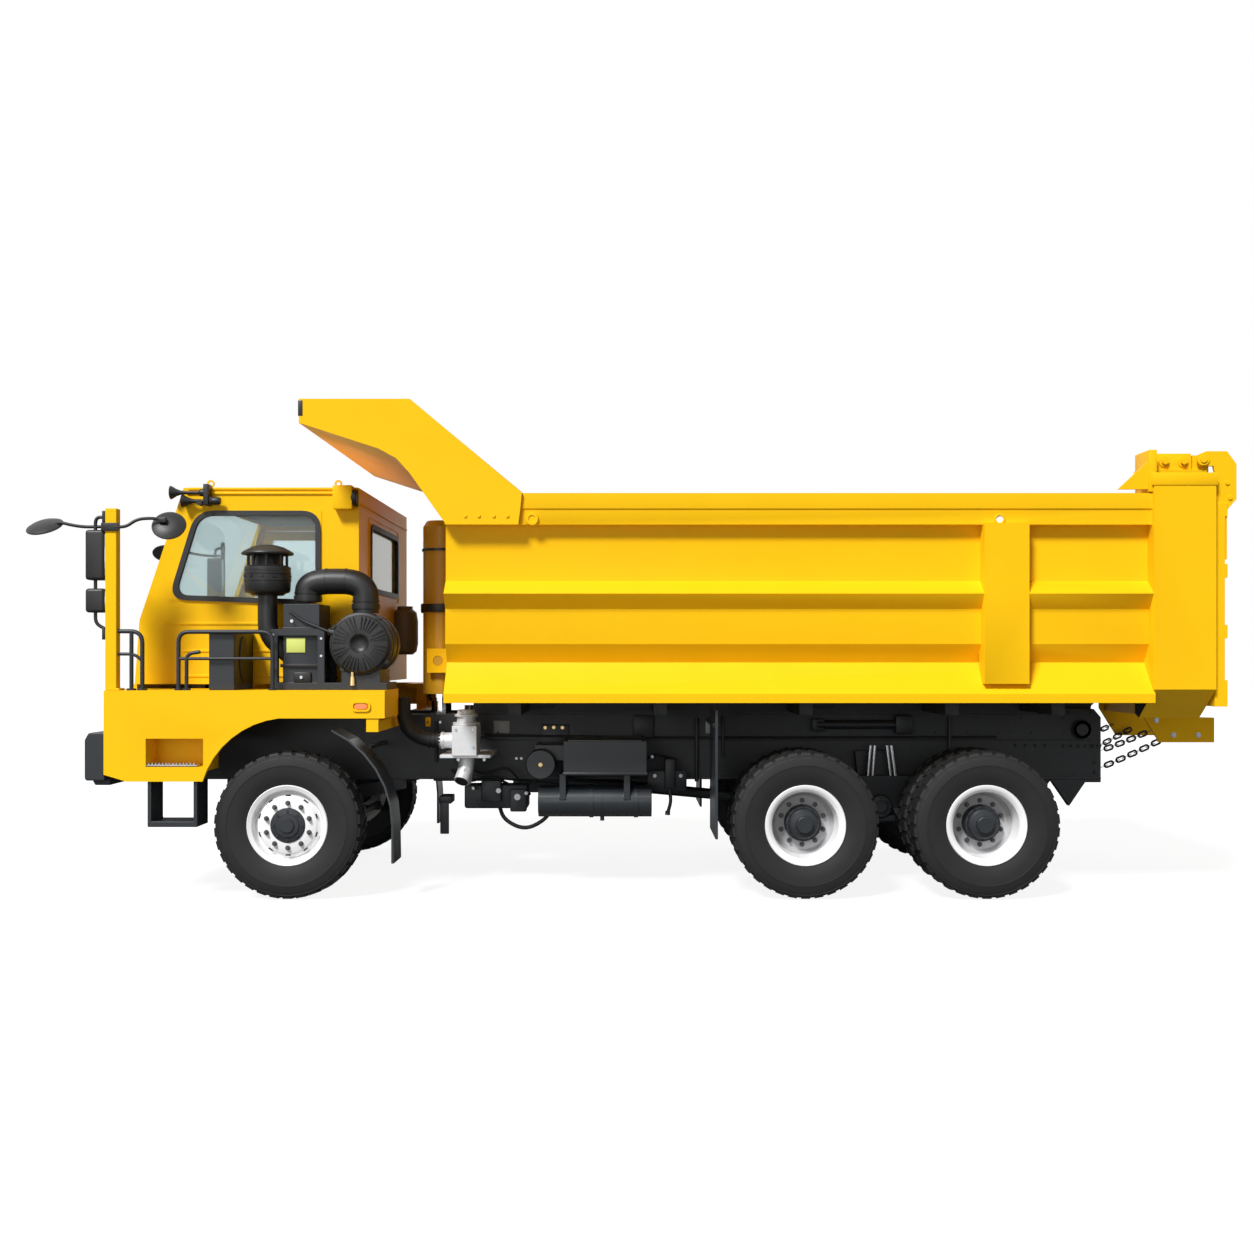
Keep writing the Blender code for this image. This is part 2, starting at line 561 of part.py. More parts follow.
def intake_group():
    foot = DECK_Z + GAP
    rack_top = 2.02
    rack = [box(-2.66, -1.79, -1.36, -0.93, foot, 1.62),
            box(-2.66, -2.605, -1.36, -1.31, foot, rack_top),
            box(-2.66, -2.605, -0.99, -0.94, foot, rack_top),
            box(-2.31, -2.255, -1.36, -1.31, foot, rack_top),
            box(-2.31, -2.255, -0.99, -0.94, foot, rack_top),
            box(-2.66, -2.255, -1.36, -1.31, rack_top - 0.05, rack_top),
            box(-2.66, -2.255, -0.99, -0.94, rack_top - 0.05, rack_top),
            box(-2.66, -2.605, -1.36, -0.94, rack_top - 0.05, rack_top),
            box(-2.31, -2.255, -1.36, -0.94, rack_top - 0.05, rack_top),
            box(-2.57, -2.30, -1.33, -0.96, 1.60, 2.209),
            box(-2.13, -1.84, -1.36, -0.95, 1.61, 1.72)]
    centre = (-1.985, 0, 1.91)
    radius = 0.235
    drum = [rod((centre[0], -1.5, centre[2]), (centre[0], -0.8, centre[2]),
                radius + GAP, 24)]
    node("filter_rack", "chassis", "charcoal", rack, drum)
    node("air_cleaner", "chassis", "plastic",
         [rod((centre[0], -1.36, centre[2]), (centre[0], -0.93, centre[2]), radius, 24),
          rod((centre[0], -1.42, centre[2]), (centre[0], -1.30, centre[2]),
              radius - 0.022, 24)])
    bend = arc((-2.1725, 0), 0.22, 180, 0, 8)
    route = [(bend[0][0], INTAKE_Y, 2.2093)]
    route += [(x, INTAKE_Y, 2.235 + 0.58 * z) for x, z in bend]
    route.append((bend[-1][0], INTAKE_Y, 2.10))
    cut = rod((centre[0], -1.5, centre[2]), (centre[0], -0.8, centre[2]),
              radius + GAP, 24)
    node("intake_pipe", "chassis", "plastic", [pipe(route, PIPE_R, 12)], [cut])
    cap_x = -2.704
    cleaner = turned([(0, 2.645), (0.15, 2.645), (0.191, 2.60), (0.191, 2.57),
                      (0.15, 2.565), (0.15, 2.487), (0.172, 2.48), (0.172, 2.285),
                      (0.12, 2.26), (0.085, 2.225), (0.085, 2.02), (0, 2.02)],
                     (cap_x, INTAKE_Y, 0), "z", 16)
    duct = pipe([(cap_x, INTAKE_Y, 2.10), (cap_x, INTAKE_Y, 2.0),
                 (-2.62, INTAKE_Y, 1.88), (-2.54, INTAKE_Y, 1.82)], 0.08, 10)
    rack_side = box(-2.57 - GAP, -2.20, -1.40, -0.9, 1.60, 2.3)
    frame_bar = box(-2.66 - GAP, -2.605 + GAP, -1.36, -0.94, rack_top - 0.05 - GAP,
                    rack_top + GAP)
    node("precleaner", "chassis", "plastic", [cleaner, duct], [rack_side, frame_bar])


def oil_cooler():
    node("oil_cooler", "chassis", "charcoal",
         [box(-3.10, -2.911, -1.42, CAB_LEFT - 0.01, DECK_Z + GAP, 2.005)])


# Items hung on the outside of the left rail.
def left_side_items():
    hang = -RAIL_OUT - GAP
    exhaust = [box(-1.35, -1.16, -1.02, -0.72, 1.05, 1.28),
               box(-1.446, -1.055, -1.00, hang, 1.03, 1.055),
               rod((-1.255, -0.87, 1.27), (-1.255, -0.87, 1.39), 0.07),
               pipe([(-1.255, -0.87, 1.04), (-1.26, -0.87, 0.92), (-1.27, -0.90, 0.83)],
                    0.055, 10),
               rod((-1.48, -0.87, 1.16), (-1.34, -0.87, 1.16), 0.055)]
    node("exhaust_box", "chassis", "grey", exhaust)
    hose = [(-1.4803, -0.87, 1.16), (-1.58, -0.87, 1.16), (-1.68, -0.87, 1.22),
            (-1.745, -0.87, 1.33), (-1.745, -0.87, 1.44), (-1.745, -0.87, 1.50)]
    node("exhaust_hose", "chassis", "rubber", [pipe(hose, 0.055, 10)],
         [box(FENDER_REAR - 0.4, FENDER_REAR + GAP, -1.6, -0.5, 1.2, 1.7)])
    pot = [turned([(0, -0.16), (0.11, -0.16), (0.119, -0.14), (0.119, 0.05),
                   (0.09, 0.08), (0, 0.08)], (-0.67, -0.80, 0.977), "y", 20),
           box(-0.72, -0.45, -0.84, hang, 1.00, 1.12)]
    node("battery_box", "chassis", "charcoal",
         [box(-0.491, 0.152, -0.99, hang, 0.90, 1.16)] + pot)
    tank = [rod((-0.694, -0.80, 0.681), (0.193, -0.80, 0.681), 0.125, 20)]
    for strap_x in (-0.50, 0.0):
        tank.append(box(strap_x - 0.025, strap_x + 0.025, -0.93, hang, 0.70, 0.8997))
    node("air_tank", "chassis", "charcoal", tank)


def right_side_items():
    hang = RAIL_OUT + GAP
    fuel = [prism([(-0.95, 0.62), (0.45, 0.62), (0.50, 0.67), (0.50, 1.18),
                   (0.45, 1.23), (-0.95, 1.23), (-1.0, 1.18), (-1.0, 0.67)],
                  "y", hang, 1.10)]
    node("fuel_tank", "chassis", "charcoal", fuel)
    oil = [box(-1.70, -1.15, hang, 1.00, 0.72, 1.28),
           rod((-1.42, 0.75, 1.27), (-1.42, 0.75, 1.34), 0.06)]
    node("hydraulic_tank", "chassis", "charcoal", oil)


# Driveline.
def powertrain():
    reach = RAIL_IN - GAP
    diff = (MID_AXLE_X - 0.26, 0, 0.62)
    shapes = [box(-3.55, -2.45, -0.32, 0.32, 0.88, 1.50),
              box(-2.46, -1.80, -0.20, 0.20, 0.86, 1.22),
              box(-3.40, -3.28, -reach, reach, 1.05, 1.15),
              box(-2.62, -2.50, -reach, reach, 1.05, 1.15),
              rod((-1.85, 0, 0.89), diff, 0.045)]
    node("powertrain", "chassis", "charcoal", shapes)


def front_axle():
    x, z = FRONT_AXLE_X, AXLE_Z
    beam = [box(x - 0.05, x + 0.05, -KINGPIN_Y, KINGPIN_Y, z - 0.07, z + 0.05)]
    spring = [(x - 0.07, z + 0.045), (x + 0.07, z + 0.045), (x + 0.72, 0.74),
              (x + 0.72, RAIL_BOTTOM - GAP), (x + 0.62, RAIL_BOTTOM - GAP),
              (x + 0.08, z + 0.17), (x - 0.08, z + 0.17),
              (x - 0.62, RAIL_BOTTOM - GAP), (x - 0.72, RAIL_BOTTOM - GAP),
              (x - 0.72, 0.74)]
    ends = [rod((x, KINGPIN_Y, z - 0.07), (x, KINGPIN_Y, z + 0.05), 0.055),
            rod((x, KINGPIN_Y, z - 0.16), (x, KINGPIN_Y, z + 0.14), KINGPIN_R),
            prism(spring, "y", 0.345, 0.445)]
    node("front_axle", "chassis", "charcoal", beam + both(ends))


def knuckles():
    x, z = FRONT_AXLE_X, AXLE_Z
    plate_in = KINGPIN_Y + 0.062
    shapes = [rod((x, KINGPIN_Y, z + 0.05 + RUN), (x, KINGPIN_Y, z + 0.13), 0.055),
              rod((x, KINGPIN_Y, z - 0.15), (x, KINGPIN_Y, z - 0.07 - RUN), 0.055),
              box(x - 0.04, x + 0.04, KINGPIN_Y, plate_in + 0.02, z + 0.052, z + 0.12),
              box(x - 0.04, x + 0.04, KINGPIN_Y, plate_in + 0.02, z - 0.14, z - 0.072),
              box(x - 0.06, x + 0.06, plate_in, plate_in + 0.03, z - 0.15, z + 0.13),
              rod((x, plate_in, z), (x, 1.375, z), SPINDLE_R - RUN),
              box(x, x + ARM_LENGTH + 0.03, KINGPIN_Y - 0.03, KINGPIN_Y + 0.03,
                  z - 0.148, z - 0.108)]
    cuts = [bore((x, KINGPIN_Y, z - 0.3), (x, KINGPIN_Y, z + 0.3), KINGPIN_R)]
    node("right_knuckle", "right_steer", "charcoal",
         [shape.copy() for shape in shapes], [cut.copy() for cut in cuts])
    node("left_knuckle", "left_steer", "charcoal",
         [mirrored(shape) for shape in shapes], [mirrored(cut) for cut in cuts])
    rod_z = z - 0.108 + RUN + 0.02
    tie_x = x + ARM_LENGTH
    node("tie_rod", "tie", "charcoal",
         [box(tie_x - 0.02, tie_x + 0.02, -KINGPIN_Y, KINGPIN_Y,
              rod_z - 0.02, rod_z + 0.02)])


def bogie():
    mid_x = (MID_AXLE_X + REAR_AXLE_X) / 2
    seat = AXLE_Z + 0.12 + GAP
    leaf = [(MID_AXLE_X - 0.11, seat), (MID_AXLE_X + 0.11, seat),
            (mid_x - 0.25, 0.60), (mid_x + 0.25, 0.60),
            (REAR_AXLE_X - 0.11, seat), (REAR_AXLE_X + 0.11, seat),
            (REAR_AXLE_X + 0.11, seat + 0.05), (mid_x + 0.30, 0.86),
            (mid_x - 0.30, 0.86), (MID_AXLE_X - 0.11, seat + 0.05)]
    bracket = [(mid_x - 0.16, 1.05), (mid_x - 0.10, 0.47), (mid_x + 0.10, 0.47),
               (mid_x + 0.16, 1.05)]
    shapes = [prism(leaf, "y", 0.51, 0.63),
              prism(bracket, "y", RAIL_OUT + GAP, 0.505),
              rod((mid_x, 0.45, 0.62), (mid_x, 0.66, 0.62), 0.09)]
    shapes = both(shapes)
    shapes.append(rod((mid_x, -0.5, 0.62), (mid_x, 0.5, 0.62), 0.06))
    node("bogie_springs", "chassis", "charcoal", shapes)
    for name, x in (("mid_axle", MID_AXLE_X), ("rear_axle", REAR_AXLE_X)):
        z = AXLE_Z
        housing = [rod((x, -0.80, z), (x, 0.80, z), 0.095)]
        halves = [rod((x, 0.76, z), (x, 1.02, z), 0.20, 16),
                  rod((x, 1.00, z), (x, 1.24, z), DUAL_SHAFT_R - RUN),
                  box(x - 0.10, x + 0.10, 0.50, 0.64, z, z + 0.12)]
        housing.append(turned([(0, -0.20), (0.16, -0.18), (0.23, -0.08), (0.23, 0.08),
                               (0.16, 0.18), (0, 0.20)], (x, 0, z), "y", 12))
        housing.append(box(x - 0.255, x, -0.07, 0.07, z - 0.04, z + 0.08))
        node(name, "chassis", "charcoal", housing + both(halves))


# Wheels. Profiles run round the section as (radius, distance outwards from the
# wheel's centre line).
RIM_R = 0.265
WELL_R = 0.245


def tyre_profile(centre, hole):
    half = TYRE_W / 2
    side = [(hole, half - 0.035), (0.40, half), (0.53, half - 0.018),
            (TYRE_R, half - 0.045)]
    other = [(r, -a) for r, a in reversed(side)]
    return [(r, centre + a) for r, a in side + other]


def front_wheels():
    hub = SPINDLE_R / math.cos(math.pi / TYRE_SIDES)
    for name, side in (("front_left", -1), ("front_right", 1)):
        centre = (FRONT_AXLE_X, side * TRACK_OUTER, AXLE_Z)
        node(name + "_tyre", name, "rubber",
             [turned(tyre_profile(0, RIM_R), centre)])
        rim = [(0, 0.155), (0.12, 0.155), (0.137, 0.075), (0.20, 0.095),
               (WELL_R, 0.06), (WELL_R, 0.135), (RIM_R - GAP, 0.135),
               (RIM_R - GAP, -0.135), (WELL_R, -0.135), (WELL_R, 0.03),
               (0.10, 0.045), (0.10, -0.06), (hub, -0.06), (hub, 0.135), (0, 0.135)]
        node(name + "_rim", name, "rim",
             [turned([(r, side * a) for r, a in rim], centre)])


def dual_wheels():
    step = TRACK_INNER - TRACK_OUTER
    hub = DUAL_SHAFT_R / math.cos(math.pi / TYRE_SIDES)
    for name, x, side in DUALS:
        centre = (x, side * TRACK_OUTER, AXLE_Z)
        section = [(0, 0.09), (0.12, 0.09), (0.14, 0.07), (0.14, -0.07),
                   (WELL_R, -0.09), (WELL_R, 0.13)]
        for offset in (0, step):
            section += tyre_profile(offset, RIM_R + 0.02)
        section += [(WELL_R, step - 0.13), (WELL_R, -0.13), (0.12, -0.13),
                    (0.12, -0.20), (hub, -0.20), (hub, 0.03), (0, 0.03)]
        shapes = [turned([(r, side * a) for r, a in section], centre)]
        node(name + "_wheels", name, "rubber", shapes)


# Steps, mudguards and flaps.
def steps_and_guards():
    top = FENDER_BOTTOM - GAP
    step = [box(-3.535, -3.505, -1.48, -1.22, 0.558, top),
            box(-3.196, -3.166, -1.48, -1.22, 0.558, top),
            box(-3.53, -3.17, -1.48, -1.22, 0.558, 0.60)]
    node("left_step", "chassis", "charcoal", [shape.copy() for shape in step])
    node("right_step", "chassis", "charcoal", [mirrored(shape) for shape in step])
    outer = arc((FRONT_AXLE_X, AXLE_Z), 0.79, 65, 0, 6)
    inner = arc((FRONT_AXLE_X, AXLE_Z), 0.775, 0, 65, 6)
    flap_x = FRONT_AXLE_X + 0.775
    guard = [prism(outer + [(flap_x + 0.02, 0.274), (flap_x, 0.274)] + inner,
                   "y", -1.38, -1.05),
             rod((-1.975, -1.10, 1.115), (-1.975, -RAIL_OUT - GAP, 1.115), 0.02, 8)]
    node("left_mudguard", "chassis", "plastic", [shape.copy() for shape in guard])
    node("right_mudguard", "chassis", "plastic", [mirrored(shape) for shape in guard])
    flap = [box(0.655, 0.675, -1.42, -0.75, 0.459, 1.42),
            rod((0.665, -1.30, 1.30), (0.665, -RAIL_OUT - GAP, 1.30), 0.025, 8)]
    node("left_mudflap", "chassis", "rubber", [shape.copy() for shape in flap])
    node("right_mudflap", "chassis", "rubber", [mirrored(shape) for shape in flap])


# Bed: a trough of ribbed walls, its floor beams, pivot ears, corner pillars,
# side posts, chain brackets and the pocket and lugs of the hoist.
RAIL_SIDE = 1.47
BED_WALL = [(BODY_HALF, BED_FLOOR), (BODY_HALF, 1.54), (1.30, 1.771), (1.40, 1.908),
            (1.40, 2.17), (BODY_HALF, 2.279), (1.37, 2.378), (1.37, 2.79),
            (1.46, 2.79), (1.46, 2.90), (RAIL_SIDE, 2.908), (RAIL_SIDE, BED_TOP),
            (BED_INNER, BED_TOP), (BED_INNER, BED_FLOOR + FLOOR_T)]
TRUNNION_R = 0.04
LUG_IN = 0.168
EAR = (0.22, 0.30)


def bed():
    section = BED_WALL + [(-y, z) for y, z in reversed(BED_WALL)]
    pillar_x = 3.877
    shapes = [prism(section, "x", BED_FRONT, pillar_x + 0.01),
              box(BED_FRONT, BED_FRONT + 0.06, -BED_INNER - 0.02, BED_INNER + 0.02,
                  BED_FLOOR, BED_TOP),
              box(pillar_x, BED_TAIL, -1.20, 1.20, BED_FLOOR, BED_FLOOR + FLOOR_T),
              prism([(BED_FRONT + 0.05, BED_FLOOR), (-1.17, BED_FLOOR),
                     (-1.17, BED_FLOOR + 0.03), (BED_FRONT + 0.05, 1.82)],
                    "y", -0.26, 0.26)]
    pillar = [(BODY_HALF, 1.573), (BODY_HALF, 3.169), (1.28, 3.169), (1.28, 1.60),
              (1.12, 1.55), (1.12, 1.38), (1.20, 1.351)]
    ear = [(PIVOT_X - 0.14, BED_FLOOR + 0.02), (PIVOT_X - 0.09, PIVOT_Z - 0.06),
           (PIVOT_X - 0.04, PIVOT_Z - 0.11), (PIVOT_X + 0.04, PIVOT_Z - 0.11),
           (PIVOT_X + 0.09, PIVOT_Z - 0.06), (PIVOT_X + 0.14, BED_FLOOR + 0.02)]
    bracket = [(4.16, BED_FLOOR + 0.02), (4.16, 1.36), (4.31, 1.12), (4.75, 1.12),
               (4.75, 1.32), (4.36, 1.33), (4.325, BED_FLOOR + 0.02)]
    halves = [prism(pillar, "x", pillar_x, BED_TAIL),
              box(2.63, 2.96, 1.35, BODY_HALF, 1.614, 2.80),
              box(BED_FRONT + 0.10, 3.35, 0.31, RAIL_OUT - 0.01,
                  RAIL_TOP + GAP, BED_FLOOR + 0.01),
              prism(ear, "y", EAR[0], EAR[1]),
              prism(bracket, "y", 0.47, 0.50),
              box(3.80, 4.30, 1.30, 1.42, 3.16, 3.20),
              prism([(4.20, 3.19), (4.23, 3.10), (4.30, 3.10), (4.318, 3.19),
                     (4.318, 3.31), (4.20, 3.31)], "y", 1.36, 1.40),
              box(HOIST_X - 0.09, BED_FRONT + 0.02, LUG_IN, LUG_IN + 0.035,
                  TRUNNION_Z - 0.10, TRUNNION_Z + 0.10)]
    shapes += both(halves)
    for cross_x in (-0.9, 0.2, 1.3, 2.4, 3.2):
        shapes.append(box(cross_x, cross_x + 0.10, -1.25, 1.25,
                          BED_FLOOR - 0.10, BED_FLOOR + 0.01))
    shapes.append(box(4.20, 4.30, -0.48, 0.48, 1.34, BED_FLOOR + 0.01))
    hole = [bore((PIVOT_X, -0.5, PIVOT_Z), (PIVOT_X, 0.5, PIVOT_Z), PIVOT_R),
            bore((HOIST_X, -0.5, TRUNNION_Z), (HOIST_X, 0.5, TRUNNION_Z), TRUNNION_R),
            bore((GATE_X, -1.45, GATE_Z), (GATE_X, 1.45, GATE_Z), GATE_R),
            prism([(BED_FRONT - 0.02, BED_FLOOR - 0.02), (-1.25, BED_FLOOR - 0.02),
                   (BED_FRONT - 0.02, 1.77)], "y", -0.20, 0.20)]
    node("bed", "bed", "yellow", shapes, hole)


def canopy():
    """Roof over the cab: two side plates, the roof sheet and its underside."""
    lower = [(-1.60, 3.165), (-1.70, 3.275), (-1.83, 3.345), (-2.414, 3.534)]
    side = [(-2.414, 3.712), (-1.598, 3.712), (-0.773, BED_TOP), (-0.785, 2.90),
            (-0.80, 2.786), (-1.331, 2.786)] + lower
    roof = [(-2.414, 3.712), (-1.598, 3.712), (-0.773, BED_TOP + 0.004),
            (-0.83, BED_TOP + GAP), (-1.622, 3.665), (-2.36, 3.665), (-2.37, 3.60),
            (-2.414, 3.60)]
    foot = BED_TOP + GAP
    under = [(BED_FRONT + 0.06, foot), (-1.50, foot)] + lower
    under += [(-2.414, 3.565), (-1.815, 3.375), (-1.68, 3.30), (-1.575, 3.18),
              (-1.485, foot + 0.03), (BED_FRONT + 0.06, foot + 0.03)]
    inner = RAIL_SIDE + GAP
    shapes = [prism(side, "y", inner, BODY_HALF), prism(side, "y", -BODY_HALF, -inner),
              prism(roof, "y", -inner - 0.01, inner + 0.01),
              prism(under, "y", -BED_INNER, BED_INNER),
              prism(lower + [(-2.414, 3.565), (-1.815, 3.375), (-1.68, 3.30),
                             (-1.575, 3.18)], "y", -inner - 0.01, inner + 0.01)]
    node("canopy", "bed", "yellow", shapes)


def tailgate():
    front = BED_TAIL + 0.011
    shapes = [box(front, front + 0.075, -1.45, 1.45, 1.46, 2.95),
              box(front, 4.44, -1.45, 1.45, 1.445, 1.64)]
    arm = [(4.285, 3.335), (4.23, 3.31), (4.225, 3.25), (4.25, 3.225), (4.34, 3.225),
           (4.355, 3.15), (4.36, 2.536), (4.44, 2.536), (4.44, 2.90), (4.51, 2.98),
           (4.51, 3.24), (4.44, 3.335)]
    halves = [prism(arm, "y", 1.41, 1.44),
              rod((GATE_X, 1.33, GATE_Z), (GATE_X, 1.44, GATE_Z), GATE_R)]
    shapes += both(halves)
    for rib_z in (1.95, 2.40, 2.85):
        shapes.append(box(front + 0.07, 4.44, -1.45, 1.45, rib_z, rib_z + 0.10))
    node("tailgate", "tailgate", "yellow", shapes)


def gate_chains():
    for name, side in (("left_chain", -1), ("right_chain", 1)):
        start = (RAIL_TAIL + GAP + 0.01, side * 0.395, 0.90)
        end = (4.42, side * 0.445, 1.18)
        shapes = [rod((RAIL_TAIL + GAP, side * 0.395, 0.90), start, 0.03, 8),
                  rod(start, end, 0.02, 8),
                  rod((4.42, side * 0.4697, 1.18), (4.42, side * 0.43, 1.18), 0.03, 8)]
        node(name, "chassis", "steel", shapes)


def hoist():
    x = HOIST_X
    outer = BARREL_R
    levels = [("hoist_barrel", "hoist", BARREL_BOTTOM, BARREL_TOP),
              ("hoist_tube_1", "stage_1", BARREL_BOTTOM - 0.03, 2.88),
              ("hoist_tube_2", "stage_2", BARREL_BOTTOM - 0.06, 2.86)]
    for name, body_name, low, high in levels:
        bore = outer - TUBE_WALL
        profile = [(0, high), (outer * 0.8, high), (outer, high - 0.05), (outer, low),
                   (bore, low), (bore, high - 0.06), (0, high - 0.06)]
        if name != "hoist_barrel":
            profile = [(outer, high), (outer, low), (bore, low), (bore, high)]
        shapes = [turned(profile, (x, 0, 0), "z", 16)]
        if name == "hoist_barrel":
            for side in (-1, 1):
                shapes.append(rod((x, side * (bore + 0.008), TRUNNION_Z),
                                  (x, side * 0.20, TRUNNION_Z), TRUNNION_R))
            shapes.append(turned([(bore + 0.01, 2.26), (outer + 0.015, 2.26),
                                  (outer + 0.015, 2.18), (bore + 0.01, 2.18)],
                                 (x, 0, 0), "z", 16))
        node(name, body_name, "yellow" if name == "hoist_barrel" else "steel", shapes)
        outer = bore - TUBE_GAP
    eye_r = 0.065
    eye = [turned([(0, 2.82), (outer, 2.82), (outer, ROD_PIN_Z + 0.10),
                   (0, ROD_PIN_Z + 0.10)], (x, 0, 0), "z", 16),
           rod((x, -0.05, ROD_PIN_Z), (x, 0.05, ROD_PIN_Z), eye_r, 12),
           box(x - 0.045, x + 0.045, -0.05, 0.05, ROD_PIN_Z, ROD_PIN_Z + 0.12),
           rod((x, -0.0995, ROD_PIN_Z), (x, 0.0995, ROD_PIN_Z), 0.03, 8)]
    node("hoist_rod", "stage_3", "steel", eye)


chassis_frame()
front_bumper()
left_fender()
right_fender()
front_panel()
cab_shell()
cab_door()
cab_glass()
cab_interior()
handrails()
mirrors()
intake_group()
oil_cooler()
left_side_items()
right_side_items()
powertrain()
front_axle()
knuckles()
bogie()
front_wheels()
dual_wheels()
steps_and_guards()
bed()
canopy()
tailgate()
gate_chains()
hoist()
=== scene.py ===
# Looks of a mining dump truck: paint, rubber, glass and the fine pieces that
# stand on or replace the plain solids of its frame. Metres, +Z up, front to -X.
import math

import bmesh
import bpy
from mathutils import Matrix, Vector


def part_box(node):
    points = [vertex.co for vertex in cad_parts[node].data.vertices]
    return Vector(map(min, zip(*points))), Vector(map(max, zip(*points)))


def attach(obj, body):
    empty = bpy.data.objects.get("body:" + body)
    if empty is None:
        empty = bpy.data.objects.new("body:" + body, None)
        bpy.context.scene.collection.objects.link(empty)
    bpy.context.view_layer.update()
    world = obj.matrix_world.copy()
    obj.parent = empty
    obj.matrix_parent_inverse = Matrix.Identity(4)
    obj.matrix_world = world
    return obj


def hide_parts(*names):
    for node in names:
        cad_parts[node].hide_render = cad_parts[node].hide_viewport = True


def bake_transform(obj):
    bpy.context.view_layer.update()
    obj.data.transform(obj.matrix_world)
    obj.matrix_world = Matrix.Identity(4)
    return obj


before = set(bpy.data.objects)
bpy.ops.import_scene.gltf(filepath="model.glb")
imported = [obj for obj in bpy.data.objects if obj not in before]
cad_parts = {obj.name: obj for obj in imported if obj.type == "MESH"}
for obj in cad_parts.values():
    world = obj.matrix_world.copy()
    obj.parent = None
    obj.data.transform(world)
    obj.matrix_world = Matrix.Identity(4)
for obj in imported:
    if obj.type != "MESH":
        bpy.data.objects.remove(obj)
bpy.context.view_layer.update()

# Floor, light and camera. A pale floor in a white room, one soft key lamp high over
# the camera's left shoulder with a weak fill beside it, and a lens level with the
# truck's waist.
AXLES = [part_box("front_left_tyre"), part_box("mid_left_wheels"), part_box("rear_left_wheels")]
FRONT_X, MID_X, REAR_X = [(low.x + high.x) / 2 for low, high in AXLES]
AXLE_Z = (AXLES[0][0].z + AXLES[0][1].z) / 2
DATUM = FRONT_X + 2.53

scene = bpy.context.scene
scene.view_settings.view_transform = "Standard"

room = bpy.data.worlds.new("white room")
room.use_nodes = True
links, nodes = room.node_tree.links, room.node_tree.nodes
path = nodes.new("ShaderNodeLightPath")
seen = nodes.new("ShaderNodeMath")
seen.operation = "MAXIMUM"
links.new(path.outputs["Is Camera Ray"], seen.inputs[0])
links.new(path.outputs["Is Transmission Ray"], seen.inputs[1])
mirrored = nodes.new("ShaderNodeMath")
mirrored.operation = "MAXIMUM"
links.new(seen.outputs[0], mirrored.inputs[0])
links.new(path.outputs["Is Glossy Ray"], mirrored.inputs[1])
strength = nodes.new("ShaderNodeMapRange")
strength.inputs["To Min"].default_value = 0.26
strength.inputs["To Max"].default_value = 1.0
links.new(mirrored.outputs[0], strength.inputs["Value"])
nodes["Background"].inputs["Color"].default_value = (1.0, 1.0, 1.0, 1.0)
links.new(strength.outputs[0], nodes["Background"].inputs["Strength"])
scene.world = room

bm = bmesh.new()
bmesh.ops.create_grid(bm, x_segments=1, y_segments=1, size=60)
mesh = bpy.data.meshes.new("floor")
bm.to_mesh(mesh)
bm.free()
floor = bpy.data.objects.new("floor", mesh)
scene.collection.objects.link(floor)
paper = bpy.data.materials.new("pale floor")
paper.use_nodes = True
links, nodes = paper.node_tree.links, paper.node_tree.nodes
shader = nodes["Principled BSDF"]
shader.inputs["Base Color"].default_value = (0.16, 0.16, 0.16, 1.0)
shader.inputs["Roughness"].default_value = 1.0
path = nodes.new("ShaderNodeLightPath")
glow = nodes.new("ShaderNodeMath")
glow.operation = "MULTIPLY"
glow.inputs[1].default_value = 0.88
links.new(path.outputs["Is Camera Ray"], glow.inputs[0])
shader.inputs["Emission Color"].default_value = (1.0, 1.0, 1.0, 1.0)
links.new(glow.outputs[0], shader.inputs["Emission Strength"])
mesh.materials.append(paper)


def lamp(name, kind, place, target, strength, spread):
    light = bpy.data.lights.new(name, kind)
    light.energy = strength
    if kind == "SUN":
        light.angle = math.radians(spread)
    else:
        light.shape = "DISK"
        light.size = spread
    item = bpy.data.objects.new(name, light)
    item.location = place
    item.rotation_euler = (Vector(target) - Vector(place)).to_track_quat("-Z", "Y").to_euler()
    scene.collection.objects.link(item)


lamp("key lamp", "SUN", (-7.0, -12.0, 15.5), (0, 0, 1.5), 4.1, 14)
lamp("fill lamp", "AREA", (-5.0, -14.0, 2.5), (0, 0, 1.5), 200, 6.0)

lens = bpy.data.cameras.new("camera")
lens.lens = 39.04
lens.sensor_width = 36
lens.shift_y = 0.0223
camera = bpy.data.objects.new("camera", lens)
camera.location = (DATUM, -11.5, 1.827)
camera.rotation_euler = (math.pi / 2, 0, 0)
scene.collection.objects.link(camera)
scene.camera = camera

